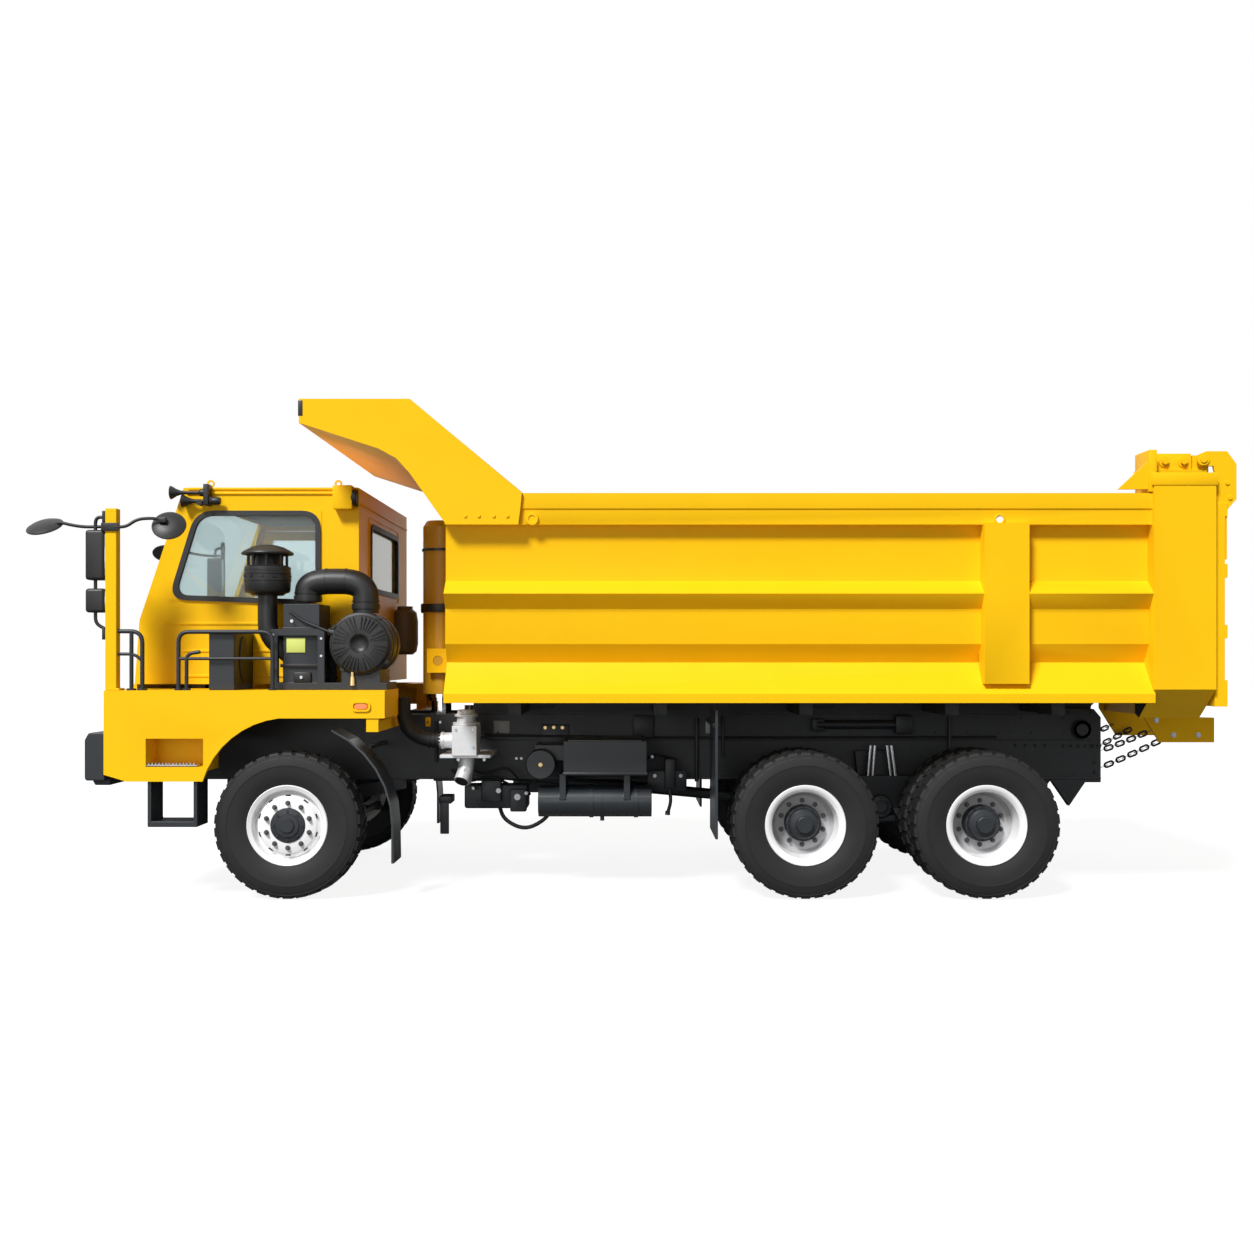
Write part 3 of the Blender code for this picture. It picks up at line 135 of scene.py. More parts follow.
# Tyres. Radial mining tyres with a plain, slightly bulged sidewall, two fine rings
# round it, and deep staggered shoulder lugs that wrap over onto the sidewall.
def finish(name, colour, roughness, metallic=0.0, spread=0.06, scale=3.0, coat=0.0,
           grain=400.0, bump=0.02, specular=0.5):
    """A surface whose tint and dullness drift in soft clouds over a fine skin."""
    material = bpy.data.materials.new(name)
    material.use_nodes = True
    tree = material.node_tree
    shader = tree.nodes["Principled BSDF"]
    shader.inputs["Metallic"].default_value = metallic
    shader.inputs["Coat Weight"].default_value = coat
    shader.inputs["Coat Roughness"].default_value = 0.12
    shader.inputs["Specular IOR Level"].default_value = specular
    place = tree.nodes.new("ShaderNodeTexCoord")
    cloud = tree.nodes.new("ShaderNodeTexNoise")
    cloud.inputs["Scale"].default_value = scale
    cloud.inputs["Detail"].default_value = 6.0
    tree.links.new(place.outputs["Object"], cloud.inputs["Vector"])
    tint = tree.nodes.new("ShaderNodeMix")
    tint.data_type = "RGBA"
    tint.inputs[6].default_value = (*[c * (1 - spread) for c in colour], 1.0)
    tint.inputs[7].default_value = (*[min(1.0, c * (1 + spread)) for c in colour], 1.0)
    tree.links.new(cloud.outputs["Fac"], tint.inputs[0])
    tree.links.new(tint.outputs[2], shader.inputs["Base Color"])
    dull = tree.nodes.new("ShaderNodeMapRange")
    dull.inputs["To Min"].default_value = max(0.0, roughness - 0.08)
    dull.inputs["To Max"].default_value = min(1.0, roughness + 0.08)
    tree.links.new(cloud.outputs["Fac"], dull.inputs["Value"])
    tree.links.new(dull.outputs[0], shader.inputs["Roughness"])
    skin = tree.nodes.new("ShaderNodeTexNoise")
    skin.inputs["Scale"].default_value = grain
    tree.links.new(place.outputs["Object"], skin.inputs["Vector"])
    relief = tree.nodes.new("ShaderNodeBump")
    relief.inputs["Strength"].default_value = bump
    relief.inputs["Distance"].default_value = 0.002
    tree.links.new(skin.outputs["Fac"], relief.inputs["Height"])
    tree.links.new(relief.outputs[0], shader.inputs["Normal"])
    return material


RUBBER = finish("tyre rubber", (0.010, 0.010, 0.0103), 0.62, spread=0.25, scale=9.0,
                grain=500.0, bump=0.25, specular=0.35)


def piece(name, bm, material, body, replaces=(), angle=32):
    """A finished piece: closed shapes in the datum's coordinates, moved to place."""
    bmesh.ops.remove_doubles(bm, verts=bm.verts, dist=0.00005)
    bmesh.ops.recalc_face_normals(bm, faces=bm.faces)
    bmesh.ops.translate(bm, vec=(DATUM, 0, 0), verts=bm.verts)
    mesh = bpy.data.meshes.new(name)
    bm.to_mesh(mesh)
    bm.free()
    mesh.shade_smooth()
    mesh.set_sharp_from_angle(angle=math.radians(angle))
    mesh.materials.append(material)
    item = bpy.data.objects.new(name, mesh)
    scene.collection.objects.link(item)
    if body:
        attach(item, body)
    if replaces:
        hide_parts(*replaces)
    return item


def turned(bm, profile, centre, axis="y", steps=48, hand=1):
    """Spin a (radius, along) profile about an axis through the centre."""
    along = Vector((0, hand, 0)) if axis == "y" else Vector((0, 0, 1))
    if axis == "x":
        along = Vector((1, 0, 0))
    out = Vector((1, 0, 0)) if axis != "x" else Vector((0, 0, 1))
    centre = Vector(centre)
    verts = [bm.verts.new(centre + out * r + along * a) for r, a in profile]
    edges = [bm.edges.new(pair) for pair in zip(verts, verts[1:])]
    bmesh.ops.spin(bm, geom=verts + edges, cent=centre, axis=along, dvec=(0, 0, 0),
                   angle=2 * math.pi, steps=steps, use_merge=True, use_duplicate=False)


TYRE_R = AXLE_Z
LUGS = 34


def tyre(bm, centre, hand):
    """One tyre: the spun carcass and two staggered rings of shoulder lugs."""
    body = TYRE_R - 0.016
    half = [(0.292, 0.105), (0.296, 0.128), (0.32, 0.136), (0.36, 0.147), (0.40, 0.152),
            (0.444, 0.1545), (0.446, 0.157), (0.452, 0.157), (0.454, 0.1545),
            (0.49, 0.150), (0.515, 0.144), (0.517, 0.146), (0.524, 0.144),
            (0.53, 0.137), (body, 0.118), (body + 0.004, 0.06), (body + 0.004, 0.0)]
    profile = half + [(r, -a) for r, a in reversed(half[:-1])]
    profile.append(profile[0])
    turned(bm, profile, centre, steps=96, hand=hand)
    for side in (-1, 1):
        for i in range(LUGS):
            angle = 2 * math.pi * (i + (0.5 if side > 0 else 0)) / LUGS
            spot = Matrix.Translation(centre) @ Matrix.Rotation(angle, 4, "Y")
            lug = bmesh.ops.create_cube(bm, size=1, matrix=spot @ Matrix.Translation(
                (0, side * 0.083, TYRE_R - 0.0235)) @ Matrix.Diagonal((0.068, 0.108, 0.044, 1)))
            for v in lug["verts"]:
                local = spot.inverted() @ v.co
                outer = abs(local.y) > 0.12
                low = local.z < TYRE_R - 0.03
                if outer and low:
                    local.z -= 0.012
                    local.y = side * 0.149
                    local.x *= 1.05
                elif outer:
                    local.z -= 0.010
                    local.y = side * 0.134
                if not outer:
                    local.x *= 0.7
                    local.x += 0.012 * side
                v.co = spot @ local


OUTER_Y = 1.245
INNER_Y = 0.895
for side, hand in (("left", -1), ("right", 1)):
    body = "front_" + side
    bm = bmesh.new()
    tyre(bm, (FRONT_X - DATUM, hand * OUTER_Y, AXLE_Z), hand)
    piece(body + "_tread", bm, RUBBER, body, (body + "_tyre",))
    for axle, axle_x in (("mid", MID_X), ("rear", REAR_X)):
        body = f"{axle}_{side}"
        bm = bmesh.new()
        for y in (OUTER_Y, INNER_Y):
            tyre(bm, (axle_x - DATUM, hand * y, AXLE_Z), hand)
        piece(body + "_treads", bm, RUBBER, body, (body + "_wheels",))

# Rims. Pressed-steel discs in a rolled rim with a folded lip: the front disc bulges
# outwards and has slots round it, the twin rear one lies deep inside its barrel.
CHARCOAL = finish("charcoal enamel", (0.018, 0.021, 0.025), 0.46, spread=0.2, scale=6.0,
                  grain=220.0, bump=0.08, specular=0.4)
# Black rubber for the window seals; the same black is painted shade in the wheel slots, the cooler
# outlet and the exhaust mouth.
RUBBER_AND_OPENING_SHADE = finish("black rubber and painted opening shade", (0.010, 0.010, 0.011), 0.55, spread=0.1)
WHITE = finish("white wheel enamel", (0.86, 0.86, 0.86), 0.34, spread=0.02)
DISC_GREY = finish("grey wheel disc", (0.46, 0.46, 0.47), 0.45, 0.1, spread=0.1)
NUT_GREY = finish("phosphated wheel nut", (0.10, 0.10, 0.105), 0.38, 0.6, spread=0.15)


def drum(bm, start, end, radius, tip=None, segments=24):
    start, end = Vector(start), Vector(end)
    turn = (end - start).to_track_quat("Z", "Y").to_matrix().to_4x4()
    place = Matrix.Translation((start + end) / 2) @ turn
    bmesh.ops.create_cone(bm, cap_ends=True, segments=segments, radius1=radius,
                          radius2=radius if tip is None else tip,
                          depth=(end - start).length, matrix=place)


def bolt(bm, place, radius=0.014, height=0.010, hand=-1):
    """A hexagon head on a washer, standing out along Y."""
    x, y, z = place
    drum(bm, (x, y, z), (x, y + hand * height * 0.3, z), radius * 1.25, segments=12)
    drum(bm, (x, y, z), (x, y + hand * height, z), radius, segments=6)


STUDS = 10
STUD_CIRCLE = 0.1675


def stud_ring(bm, centre, face, hand):
    """Wheel studs with their nuts and washers, standing out of the disc's face."""
    x, y, z = centre
    for i in range(STUDS):
        angle = 2 * math.pi * (i + 0.5) / STUDS
        spot = (x + STUD_CIRCLE * math.cos(angle), z + STUD_CIRCLE * math.sin(angle))
        at = y + hand * face
        drum(bm, (spot[0], at, spot[1]), (spot[0], at + hand * 0.006, spot[1]), 0.019, segments=14)
        drum(bm, (spot[0], at, spot[1]), (spot[0], at + hand * 0.022, spot[1]), 0.0155, segments=6)
        drum(bm, (spot[0], at, spot[1]), (spot[0], at + hand * 0.036, spot[1]), 0.009, segments=10)


def front_rim(body, centre, hand):
    """The bulged front disc in its rolled rim, with its slots, hub and studs."""
    x, y, z = centre
    bm = bmesh.new()
    lip = [(0.262, -0.135), (0.298, -0.130), (0.300, -0.120), (0.270, -0.110), (0.264, 0.10),
           (0.276, 0.118), (0.300, 0.122), (0.303, 0.132), (0.297, 0.139), (0.284, 0.134),
           (0.268, 0.128), (0.258, 0.110), (0.254, 0.072), (0.246, 0.066), (0.238, 0.074),
           (0.215, 0.104), (0.205, 0.110), (0.130, 0.112), (0.130, 0.098), (0.200, 0.096),
           (0.232, 0.058), (0.250, 0.050), (0.252, -0.125), (0.262, -0.135)]
    turned(bm, lip, centre, steps=64, hand=hand)
    piece(body + "_rim_steel", bm, WHITE, body, (body + "_rim",))
    # The slots are thin black blocks on the disc's face: painted shade for the openings through
    # it.
    bm = bmesh.new()
    for i in range(STUDS):
        angle = 2 * math.pi * i / STUDS
        spot = Matrix.Translation((x, y + hand * 0.098, z)) @ Matrix.Rotation(angle, 4, "Y")
        bmesh.ops.create_cube(bm, size=1, matrix=spot @ Matrix.Translation(
            (0, 0, 0.222)) @ Matrix.Diagonal((0.036, 0.010, 0.010, 1)))
    piece(body + "_rim_slots", bm, RUBBER_AND_OPENING_SHADE, body)
    bm = bmesh.new()
    hub = [(0.0, 0.150), (0.048, 0.150), (0.052, 0.146), (0.054, 0.138), (0.085, 0.136),
           (0.090, 0.128), (0.124, 0.122), (0.131, 0.114), (0.131, 0.02), (0.06, 0.0),
           (0.06, -0.05), (0.0, -0.05)]
    turned(bm, hub, centre, steps=40, hand=hand)
    for i in range(8):
        angle = 2 * math.pi * i / 8
        spot = (x + 0.105 * math.cos(angle), y + hand * 0.120, z + 0.105 * math.sin(angle))
        bolt(bm, spot, 0.009, 0.014, hand)
    piece(body + "_hub", bm, CHARCOAL, body)
    bm = bmesh.new()
    stud_ring(bm, centre, 0.110, hand)
    piece(body + "_studs", bm, NUT_GREY, body)


def rear_rims(body, centre, hand):
    """Twin rims with the deep disc, its nuts and the stepped hub between them."""
    x, y, z = centre
    step = -0.35
    bm = bmesh.new()
    lip = [(0.262, -0.10), (0.264, 0.095), (0.280, 0.112), (0.300, 0.116), (0.304, 0.128),
           (0.298, 0.139), (0.282, 0.138), (0.266, 0.130), (0.250, 0.112), (0.240, 0.04),
           (0.236, -0.04), (0.238, -0.135), (0.262, -0.10)]
    turned(bm, lip, centre, steps=64, hand=hand)
    inner = [(r, a + step) for r, a in ((0.262, -0.13), (0.300, -0.125), (0.304, -0.135),
             (0.290, -0.139), (0.250, -0.128), (0.240, 0.10), (0.262, 0.10), (0.262, -0.13))]
    turned(bm, inner, centre, steps=48, hand=hand)
    piece(body + "_rim_steel", bm, WHITE, body)
    bm = bmesh.new()
    disc = [(0.240, -0.030), (0.228, -0.060), (0.205, -0.078), (0.136, -0.080), (0.136, -0.10),
            (0.20, -0.098), (0.240, -0.060), (0.240, -0.030)]
    turned(bm, disc, centre, steps=64, hand=hand)
    piece(body + "_rim_disc", bm, DISC_GREY, body)
    bm = bmesh.new()
    stud_ring(bm, centre, -0.080, hand)
    piece(body + "_studs", bm, NUT_GREY, body)
    bm = bmesh.new()
    hub = [(0.0, 0.092), (0.055, 0.092), (0.060, 0.088), (0.064, 0.060), (0.100, 0.052),
           (0.112, 0.040), (0.118, 0.010), (0.132, 0.006), (0.137, -0.01), (0.138, -0.10),
           (0.06, -0.12), (0.06, -0.19), (0.0, -0.19)]
    turned(bm, hub, centre, steps=40, hand=hand)
    for i in range(12):
        angle = 2 * math.pi * i / 12
        spot = (x + 0.125 * math.cos(angle), y + hand * 0.004, z + 0.125 * math.sin(angle))
        bolt(bm, spot, 0.009, 0.012, hand)
    piece(body + "_hub", bm, CHARCOAL, body)


for side, hand in (("left", -1), ("right", 1)):
    front_rim("front_" + side, (FRONT_X - DATUM, hand * OUTER_Y, AXLE_Z), hand)
    for axle, axle_x in (("mid", MID_X), ("rear", REAR_X)):
        rear_rims(f"{axle}_{side}", (axle_x - DATUM, hand * OUTER_Y, AXLE_Z), hand)

# Bed. Welded from folded wear plate: two ridges pressed along each wall, posts and a
# pillar over them, a box rail on top, a hinge box for the gate above each pillar.
YELLOW = finish("yellow enamel", (0.93, 0.53, 0.006), 0.42, spread=0.035,
                grain=60.0, bump=0.03, specular=0.10)
BLACK = finish("black moulded plastic", (0.013, 0.013, 0.0135), 0.42, spread=0.15,
               grain=900.0, bump=0.15, specular=0.4)


def rounded(node, material, body, width=0.006, segments=2):
    """A sheet-steel solid with its folds and edges rounded as pressed steel is."""
    bm = bmesh.new()
    bm.from_mesh(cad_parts[node].data)
    bmesh.ops.remove_doubles(bm, verts=bm.verts, dist=0.00005)
    bmesh.ops.dissolve_limit(bm, angle_limit=0.01, verts=bm.verts, edges=bm.edges)
    bmesh.ops.translate(bm, vec=(-DATUM, 0, 0), verts=bm.verts)
    item = piece(node + "_skin", bm, material, body, (node,))
    bevel = item.modifiers.new("rounded edges", "BEVEL")
    bevel.width = width
    bevel.segments = segments
    bevel.limit_method = "ANGLE"
    bevel.angle_limit = math.radians(24)
    bevel.harden_normals = True
    bevel.use_clamp_overlap = True
    return item


def block(bm, x0, x1, y0, y1, z0, z1):
    size = Matrix.Diagonal((x1 - x0, y1 - y0, z1 - z0, 1))
    place = Matrix.Translation(((x0 + x1) / 2, (y0 + y1) / 2, (z0 + z1) / 2))
    return bmesh.ops.create_cube(bm, size=1, matrix=place @ size)["verts"]


def soft_block(bm, x0, x1, y0, y1, z0, z1, radius, segments=2):
    verts = block(bm, x0, x1, y0, y1, z0, z1)
    edges = list({e for v in verts for e in v.link_edges})
    bmesh.ops.bevel(bm, geom=edges, offset=radius, offset_type="OFFSET", segments=segments,
                    profile=0.5, affect="EDGES", material=-1)


def plate(bm, outline, y0, y1):
    """An (x, z) outline cut from plate that lies between y0 and y1."""
    face = bm.faces.new([bm.verts.new((x, y0, z)) for x, z in outline])
    walls = bmesh.ops.extrude_face_region(bm, geom=[face])["geom"]
    moved = [v for v in walls if isinstance(v, bmesh.types.BMVert)]
    bmesh.ops.translate(bm, vec=(0, y1 - y0, 0), verts=moved)


bed = rounded("bed", YELLOW, "bed", 0.006)
# Faces below the bed's floor (crossbeams and sub-rails) take the charcoal enamel: partly a dark
# underframe paint, partly painted shade for the dark gap under the bed.
bed.data.materials.append(CHARCOAL)
for face in bed.data.polygons:
    if face.center.z < 1.468 and -1.30 < face.center.x - DATUM < 4.14:
        face.material_index = 1
rounded("canopy", YELLOW, "bed", 0.004)


def bed_trim(bm, hand):
    """What is welded or bolted to one side of the bed above its ridges."""
    def y(value):
        return hand * value
    plate(bm, [(3.625, 3.05), (3.86, 3.05), (3.86, 3.27)], y(1.47), y(1.44))
    soft_block(bm, 3.846, 3.905, y(1.20), y(1.485), 3.03, 3.34, 0.006)
    soft_block(bm, 3.90, 4.195, y(1.30), y(1.395), 3.10, 3.325, 0.008)
    soft_block(bm, 3.862, 4.345, y(1.255), y(1.507), 3.075, 3.169, 0.006)
    for x in (3.99, 4.13):
        drum(bm, (x, y(1.39), 3.262), (x, y(1.405), 3.262), 0.040, segments=28)
        drum(bm, (x, y(1.39), 3.262), (x, y(1.428), 3.262), 0.024, segments=6)
    for x in (-1.19, -1.09, -0.98, -0.88):
        bolt(bm, (x, y(1.499), 2.85), 0.013, 0.009, hand)
    turned(bm, [(0.0, 0.001), (0.026, 0.001), (0.028, 0.008), (0.044, 0.008), (0.047, 0.0),
                (0.047, -0.03), (0.0, -0.03)], (-0.70, y(1.472), 2.83), steps=28, hand=hand)
    turned(bm, [(0.040, 0.0), (0.040, 0.006), (0.036, 0.010), (0.029, 0.010), (0.026, 0.004),
                (0.026, -0.02), (0.040, -0.02), (0.040, 0.0)], (2.75, y(1.462), 2.83),
           steps=28, hand=hand)


bm = bmesh.new()
for hand in (-1, 1):
    bed_trim(bm, hand)
piece("bed_trim", bm, YELLOW, "bed")
bm = bmesh.new()
for hand in (-1, 1):
    drum(bm, (2.75, hand * 1.44, 2.83), (2.75, hand * 1.464, 2.83), 0.027, segments=24)
piece("bed_hole_plugs", bm, WHITE, "bed")
bm = bmesh.new()
for hand in (-1, 1):
    soft_block(bm, -2.420, -2.385, hand * 1.465, hand * 1.503, 3.585, 3.700, 0.004)
piece("canopy_corner_caps", bm, BLACK, "bed")
bm = bmesh.new()
for x in (-0.95, 1.33):
    soft_block(bm, x, x + 0.35, -0.47, -0.44, 1.40, 1.468, 0.004)
    soft_block(bm, x, x + 0.35, 0.44, 0.47, 1.40, 1.468, 0.004)
piece("bed_rail_guides", bm, CHARCOAL, "bed")

# Tailgate. A ribbed steel gate that hangs from two arms on top of the bed, with a
# pair of slack chains between the frame's tail and the brackets under the bed.
STEEL = finish("bare steel", (0.42, 0.43, 0.45), 0.32, 0.95, spread=0.08)
DARK_STEEL = finish("blackened steel", (0.035, 0.036, 0.040), 0.42, 0.5, spread=0.2)
rounded("tailgate", YELLOW, "tailgate", 0.005)
bm = bmesh.new()
for hand in (-1, 1):
    drum(bm, (4.26, hand * 1.438, 3.274), (4.26, hand * 1.452, 3.274), 0.046, segments=28)
    drum(bm, (4.26, hand * 1.438, 3.274), (4.26, hand * 1.462, 3.274), 0.026, segments=24)
    for x, z in ((4.44, 3.10), (4.46, 2.99)):
        bolt(bm, (x, hand * 1.438, z), 0.016, 0.012, hand)
piece("tailgate_pins", bm, YELLOW, "tailgate")
bm = bmesh.new()
for hand in (-1, 1):
    for x, z in ((4.28, 1.30), (4.42, 1.18), (4.62, 1.18)):
        bolt(bm, (x, hand * 0.499, z), 0.018, 0.014, hand)
piece("chain_bracket_bolts", bm, STEEL, "bed")


def chain(bm, start, end, links, sag):
    """A row of stadium links, each turned a quarter from the one before."""
    start, end = Vector(start), Vector(end)
    for i in range(links):
        t = (i + 0.5) / links
        dip = Vector((0, 0, -sag * 4 * t * (1 - t)))
        slope = Vector((0, 0, -sag * 4 * (1 - 2 * t) / links))
        run = ((end - start) / links + slope).normalized()
        turn = run.to_track_quat("Z", "Y").to_matrix().to_4x4()
        spot = Matrix.Translation(start.lerp(end, t) + dip) @ turn
        spot = spot @ Matrix.Rotation(math.pi / 2 * (i % 2), 4, "Z")
        ring = bmesh.ops.create_circle(bm, segments=8, radius=0.0085, matrix=Matrix.Translation(
            (0.0185, 0, 0)) @ Matrix.Rotation(math.pi / 2, 4, "X"))["verts"]
        before = set(bm.verts) - set(ring)
        edges = list({e for v in ring for e in v.link_edges})
        bmesh.ops.spin(bm, geom=ring + edges, cent=(0, 0, 0), axis=(0, 1, 0), dvec=(0, 0, 0),
                       angle=2 * math.pi, steps=14, use_merge=True, use_duplicate=False)
        link = [v for v in bm.verts if v not in before]
        reach = (end - start).length / links * 0.5 - 0.008
        for v in link:
            v.co.z += reach if v.co.z > 0 else -reach
        bmesh.ops.transform(bm, matrix=spot, verts=link)


for side, hand in (("left", -1), ("right", 1)):
    bm = bmesh.new()
    chain(bm, (3.862, hand * 0.398, 0.905), (4.42, hand * 0.445, 1.175), 12, 0.006)
    chain(bm, (3.862, hand * 0.398, 1.045), (4.26, hand * 0.445, 1.215), 9, 0.006)
    links_piece = piece(side + "_chain_links", bm, DARK_STEEL, None,
                        (side + "_chain",))
    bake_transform(links_piece)

# Hoist. A three-stage telescopic cylinder behind the cab, its barrel in a darker copy of the bed's
# yellow that is painted shade, with a black clamp round its top and bare chromed tubes inside.
CHROME = finish("hard chrome", (0.72, 0.73, 0.75), 0.12, 1.0, spread=0.02)
# A darker copy of the yellow enamel: painted shade for the hoist barrel, which stands in the bed's
# shadow.
PAINTED_SHADE_YELLOW = finish("yellow enamel in shade", (0.60, 0.32, 0.010), 0.45, spread=0.08)


def dress(node, material):
    """A CAD solid whose shape is right gets its finish."""
    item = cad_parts[node]
    item.data.materials.clear()
    item.data.materials.append(material)


rounded("hoist_barrel", PAINTED_SHADE_YELLOW, "hoist", 0.006)
bm = bmesh.new()
turned(bm, [(0.151, 2.185), (0.168, 2.185), (0.170, 2.195), (0.170, 2.245), (0.168, 2.255),
            (0.151, 2.255), (0.151, 2.185)], (-1.572, 0, 0), "z", 40)
turned(bm, [(0.151, 2.70), (0.160, 2.70), (0.160, 2.72), (0.151, 2.72), (0.151, 2.70)],
       (-1.572, 0, 0), "z", 40)
piece("hoist_clamp", bm, BLACK, "hoist")
for node in ("hoist_tube_1", "hoist_tube_2", "hoist_rod"):
    dress(node, CHROME)

# Fenders and bumper. Folded sheet over the front wheels, with a step let into each
# side, a marker lamp over the arch and a plain steel bumper below.
ORANGE = finish("amber lens", (0.90, 0.20, 0.01), 0.22, coat=0.5)
LAMP_GLASS = finish("lamp lens", (0.75, 0.78, 0.80), 0.10, coat=0.6, spread=0.02)


def grown(outline, reach):
    """The outline with each of its edges moved out by the reach."""
    area = sum(a[0] * b[1] - b[0] * a[1] for a, b in zip(outline, outline[1:] + outline[:1]))
    hand = 1 if area > 0 else -1
    result = []
    for i, corner in enumerate(outline):
        into = (Vector(corner) - Vector(outline[i - 1])).normalized()
        away = (Vector(outline[(i + 1) % len(outline)]) - Vector(corner)).normalized()
        out_a = Vector((into.y, -into.x)) * hand
        out_b = Vector((away.y, -away.x)) * hand
        result.append(tuple(Vector(corner) + (out_a + out_b) * reach / (1 + out_a.dot(out_b))))
    return result


def rounded_corners(outline, radius, steps=6):
    points = []
    for i, corner in enumerate(outline):
        corner = Vector(corner)
        before, after = Vector(outline[i - 1]), Vector(outline[(i + 1) % len(outline)])
        near = corner + (before - corner).normalized() * radius
        far = corner + (after - corner).normalized() * radius
        for k in range(steps + 1):
            t = k / steps
            points.append(near.lerp(corner, t).lerp(corner.lerp(far, t), t))
    return points


def hoop(bm, outline, inner, outer, y0, y1, radius, outer_radius=None):
    """A flat frame round an opening, such as a window's rubber, from y0 to y1."""
    loops = []
    for reach in (inner, outer):
        bend = outer_radius if outer_radius and reach == outer else radius + reach
        corners = rounded_corners(grown(outline, reach), bend)
        verts = [bm.verts.new((x, y0, z)) for x, z in corners]
        loops += [bm.edges.new(pair) for pair in zip(verts, verts[1:] + verts[:1])]
    faces = bmesh.ops.bridge_loops(bm, edges=loops)["faces"]
    walls = bmesh.ops.extrude_face_region(bm, geom=faces)["geom"]
    moved = [v for v in walls if isinstance(v, bmesh.types.BMVert)]
    bmesh.ops.translate(bm, vec=(0, y1 - y0, 0), verts=moved)


rounded("left_fender", YELLOW, "chassis", 0.008)
rounded("right_fender", YELLOW, "chassis", 0.008)
rounded("front_panel", YELLOW, "chassis", 0.004)
rounded("front_bumper", CHARCOAL, "chassis", 0.010)
rounded("left_step", CHARCOAL, "chassis", 0.006)
rounded("right_step", CHARCOAL, "chassis", 0.006)
for side, hand in (("left", -1), ("right", 1)):
    bm = bmesh.new()
    lamp_face = [(-2.012, 1.424), (-1.900, 1.424), (-1.900, 1.473), (-2.012, 1.473)]
    hoop(bm, lamp_face, 0.0, 0.014, hand * 1.499, hand * 1.512, 0.022)
    piece(side + "_marker_bezel", bm, YELLOW, "chassis")
    bm = bmesh.new()
    drum(bm, (0, hand * 1.497, 0), (0, hand * 1.509, 0), 0.5, 0.42, segments=40)
    bmesh.ops.scale(bm, vec=(0.112, 1, 0.050), verts=bm.verts)
    bmesh.ops.translate(bm, vec=(-1.956, 0, 1.4485), verts=bm.verts)
    piece(side + "_marker_lens", bm, ORANGE, "chassis")
    bm = bmesh.new()
    soft_block(bm, -3.535, -3.165, hand * 1.36, hand * 1.495, 1.006, 1.018, 0.003)
    for i in range(14):
        x = -3.52 + 0.0255 * i
        drum(bm, (x, hand * 1.488, 1.012), (x, hand * 1.488, 1.034), 0.011, 0.003, 8)
    piece(side + "_tread", bm, STEEL, "chassis")
    bm = bmesh.new()
    for i in range(9):
        x = -3.50 + 0.037 * i
        soft_block(bm, x, x + 0.008, hand * 1.24, hand * 1.47, 0.893, 0.901, 0.002, 1)
        soft_block(bm, x, x + 0.008, hand * 1.24, hand * 1.47, 0.594, 0.602, 0.002, 1)
    piece(side + "_step_treads", bm, DARK_STEEL, "chassis")
bm = bmesh.new()
for i in range(7):
    z = 1.375 + 0.029 * i
    soft_block(bm, -3.868, -3.846, -0.72, 0.72, z, z + 0.014, 0.003)
piece("grille_bars", bm, BLACK, "chassis")
bm = bmesh.new()
for hand in (-1, 1):
    for y in (0.92, 1.16):
        turned(bm, [(0.0, 0.0), (0.075, 0.002), (0.088, 0.008), (0.094, 0.0), (0.094, -0.02),
                    (0.0, -0.02)], (-3.862, hand * y, 1.42), "x", 32)
for v in bm.verts:
    v.co.x = -3.862 - (v.co.x + 3.862)
piece("head_lamps", bm, LAMP_GLASS, "chassis")
bm = bmesh.new()
for hand in (-1, 1):
    for y in (0.92, 1.16):
        turned(bm, [(0.094, -0.016), (0.108, -0.016), (0.110, 0.012), (0.102, 0.016),
                    (0.094, 0.010), (0.094, -0.016)], (-3.858, hand * y, 1.42), "x", 32)
piece("head_lamp_rings", bm, BLACK, "chassis")

# Cab. Pressed and welded steel shell, glazed in black rubber, with a rain gutter,
# lifting eyes, a pair of air horns and a work-lamp box at its rear corner.
POD_GREY = finish("grey filter pod", (0.20, 0.19, 0.16), 0.5, spread=0.1)


def glass(name, colour, clear):
    material = bpy.data.materials.new(name)
    material.use_nodes = True
    shader = material.node_tree.nodes["Principled BSDF"]
    shader.inputs["Base Color"].default_value = (*colour, 1.0)
    shader.inputs["Roughness"].default_value = 0.02
    shader.inputs["IOR"].default_value = 1.25
    shader.inputs["Transmission Weight"].default_value = clear
    return material


CAB_GLASS = glass("tinted cab glass", (0.73, 0.83, 0.84), 0.94)
rounded("cab_shell", YELLOW, "chassis", 0.012, 3)
rounded("cab_door", YELLOW, "door", 0.005)
for node in ("windscreen", "left_cab_window", "rear_cab_window", "cab_door_window"):
    dress(node, CAB_GLASS)
SIDE_PANE = [(-3.54, 2.28), (-2.41, 2.24), (-2.41, 2.927), (-3.34, 2.927)]
bm = bmesh.new()
hoop(bm, SIDE_PANE, -0.016, 0.024, -0.918, -0.880, 0.125)
piece("left_window_seal", bm, RUBBER_AND_OPENING_SHADE, "chassis")
bm = bmesh.new()
hoop(bm, [(-0.43, 2.36), (0.84, 2.36), (0.84, 2.87), (-0.43, 2.87)], -0.016, 0.026,
     2.073, 2.112, 0.070)
bmesh.ops.rotate(bm, cent=(0, 0, 0), matrix=Matrix.Rotation(math.pi / 2, 3, "Z"), verts=bm.verts)
piece("rear_window_seal", bm, RUBBER_AND_OPENING_SHADE, "chassis")
bm = bmesh.new()
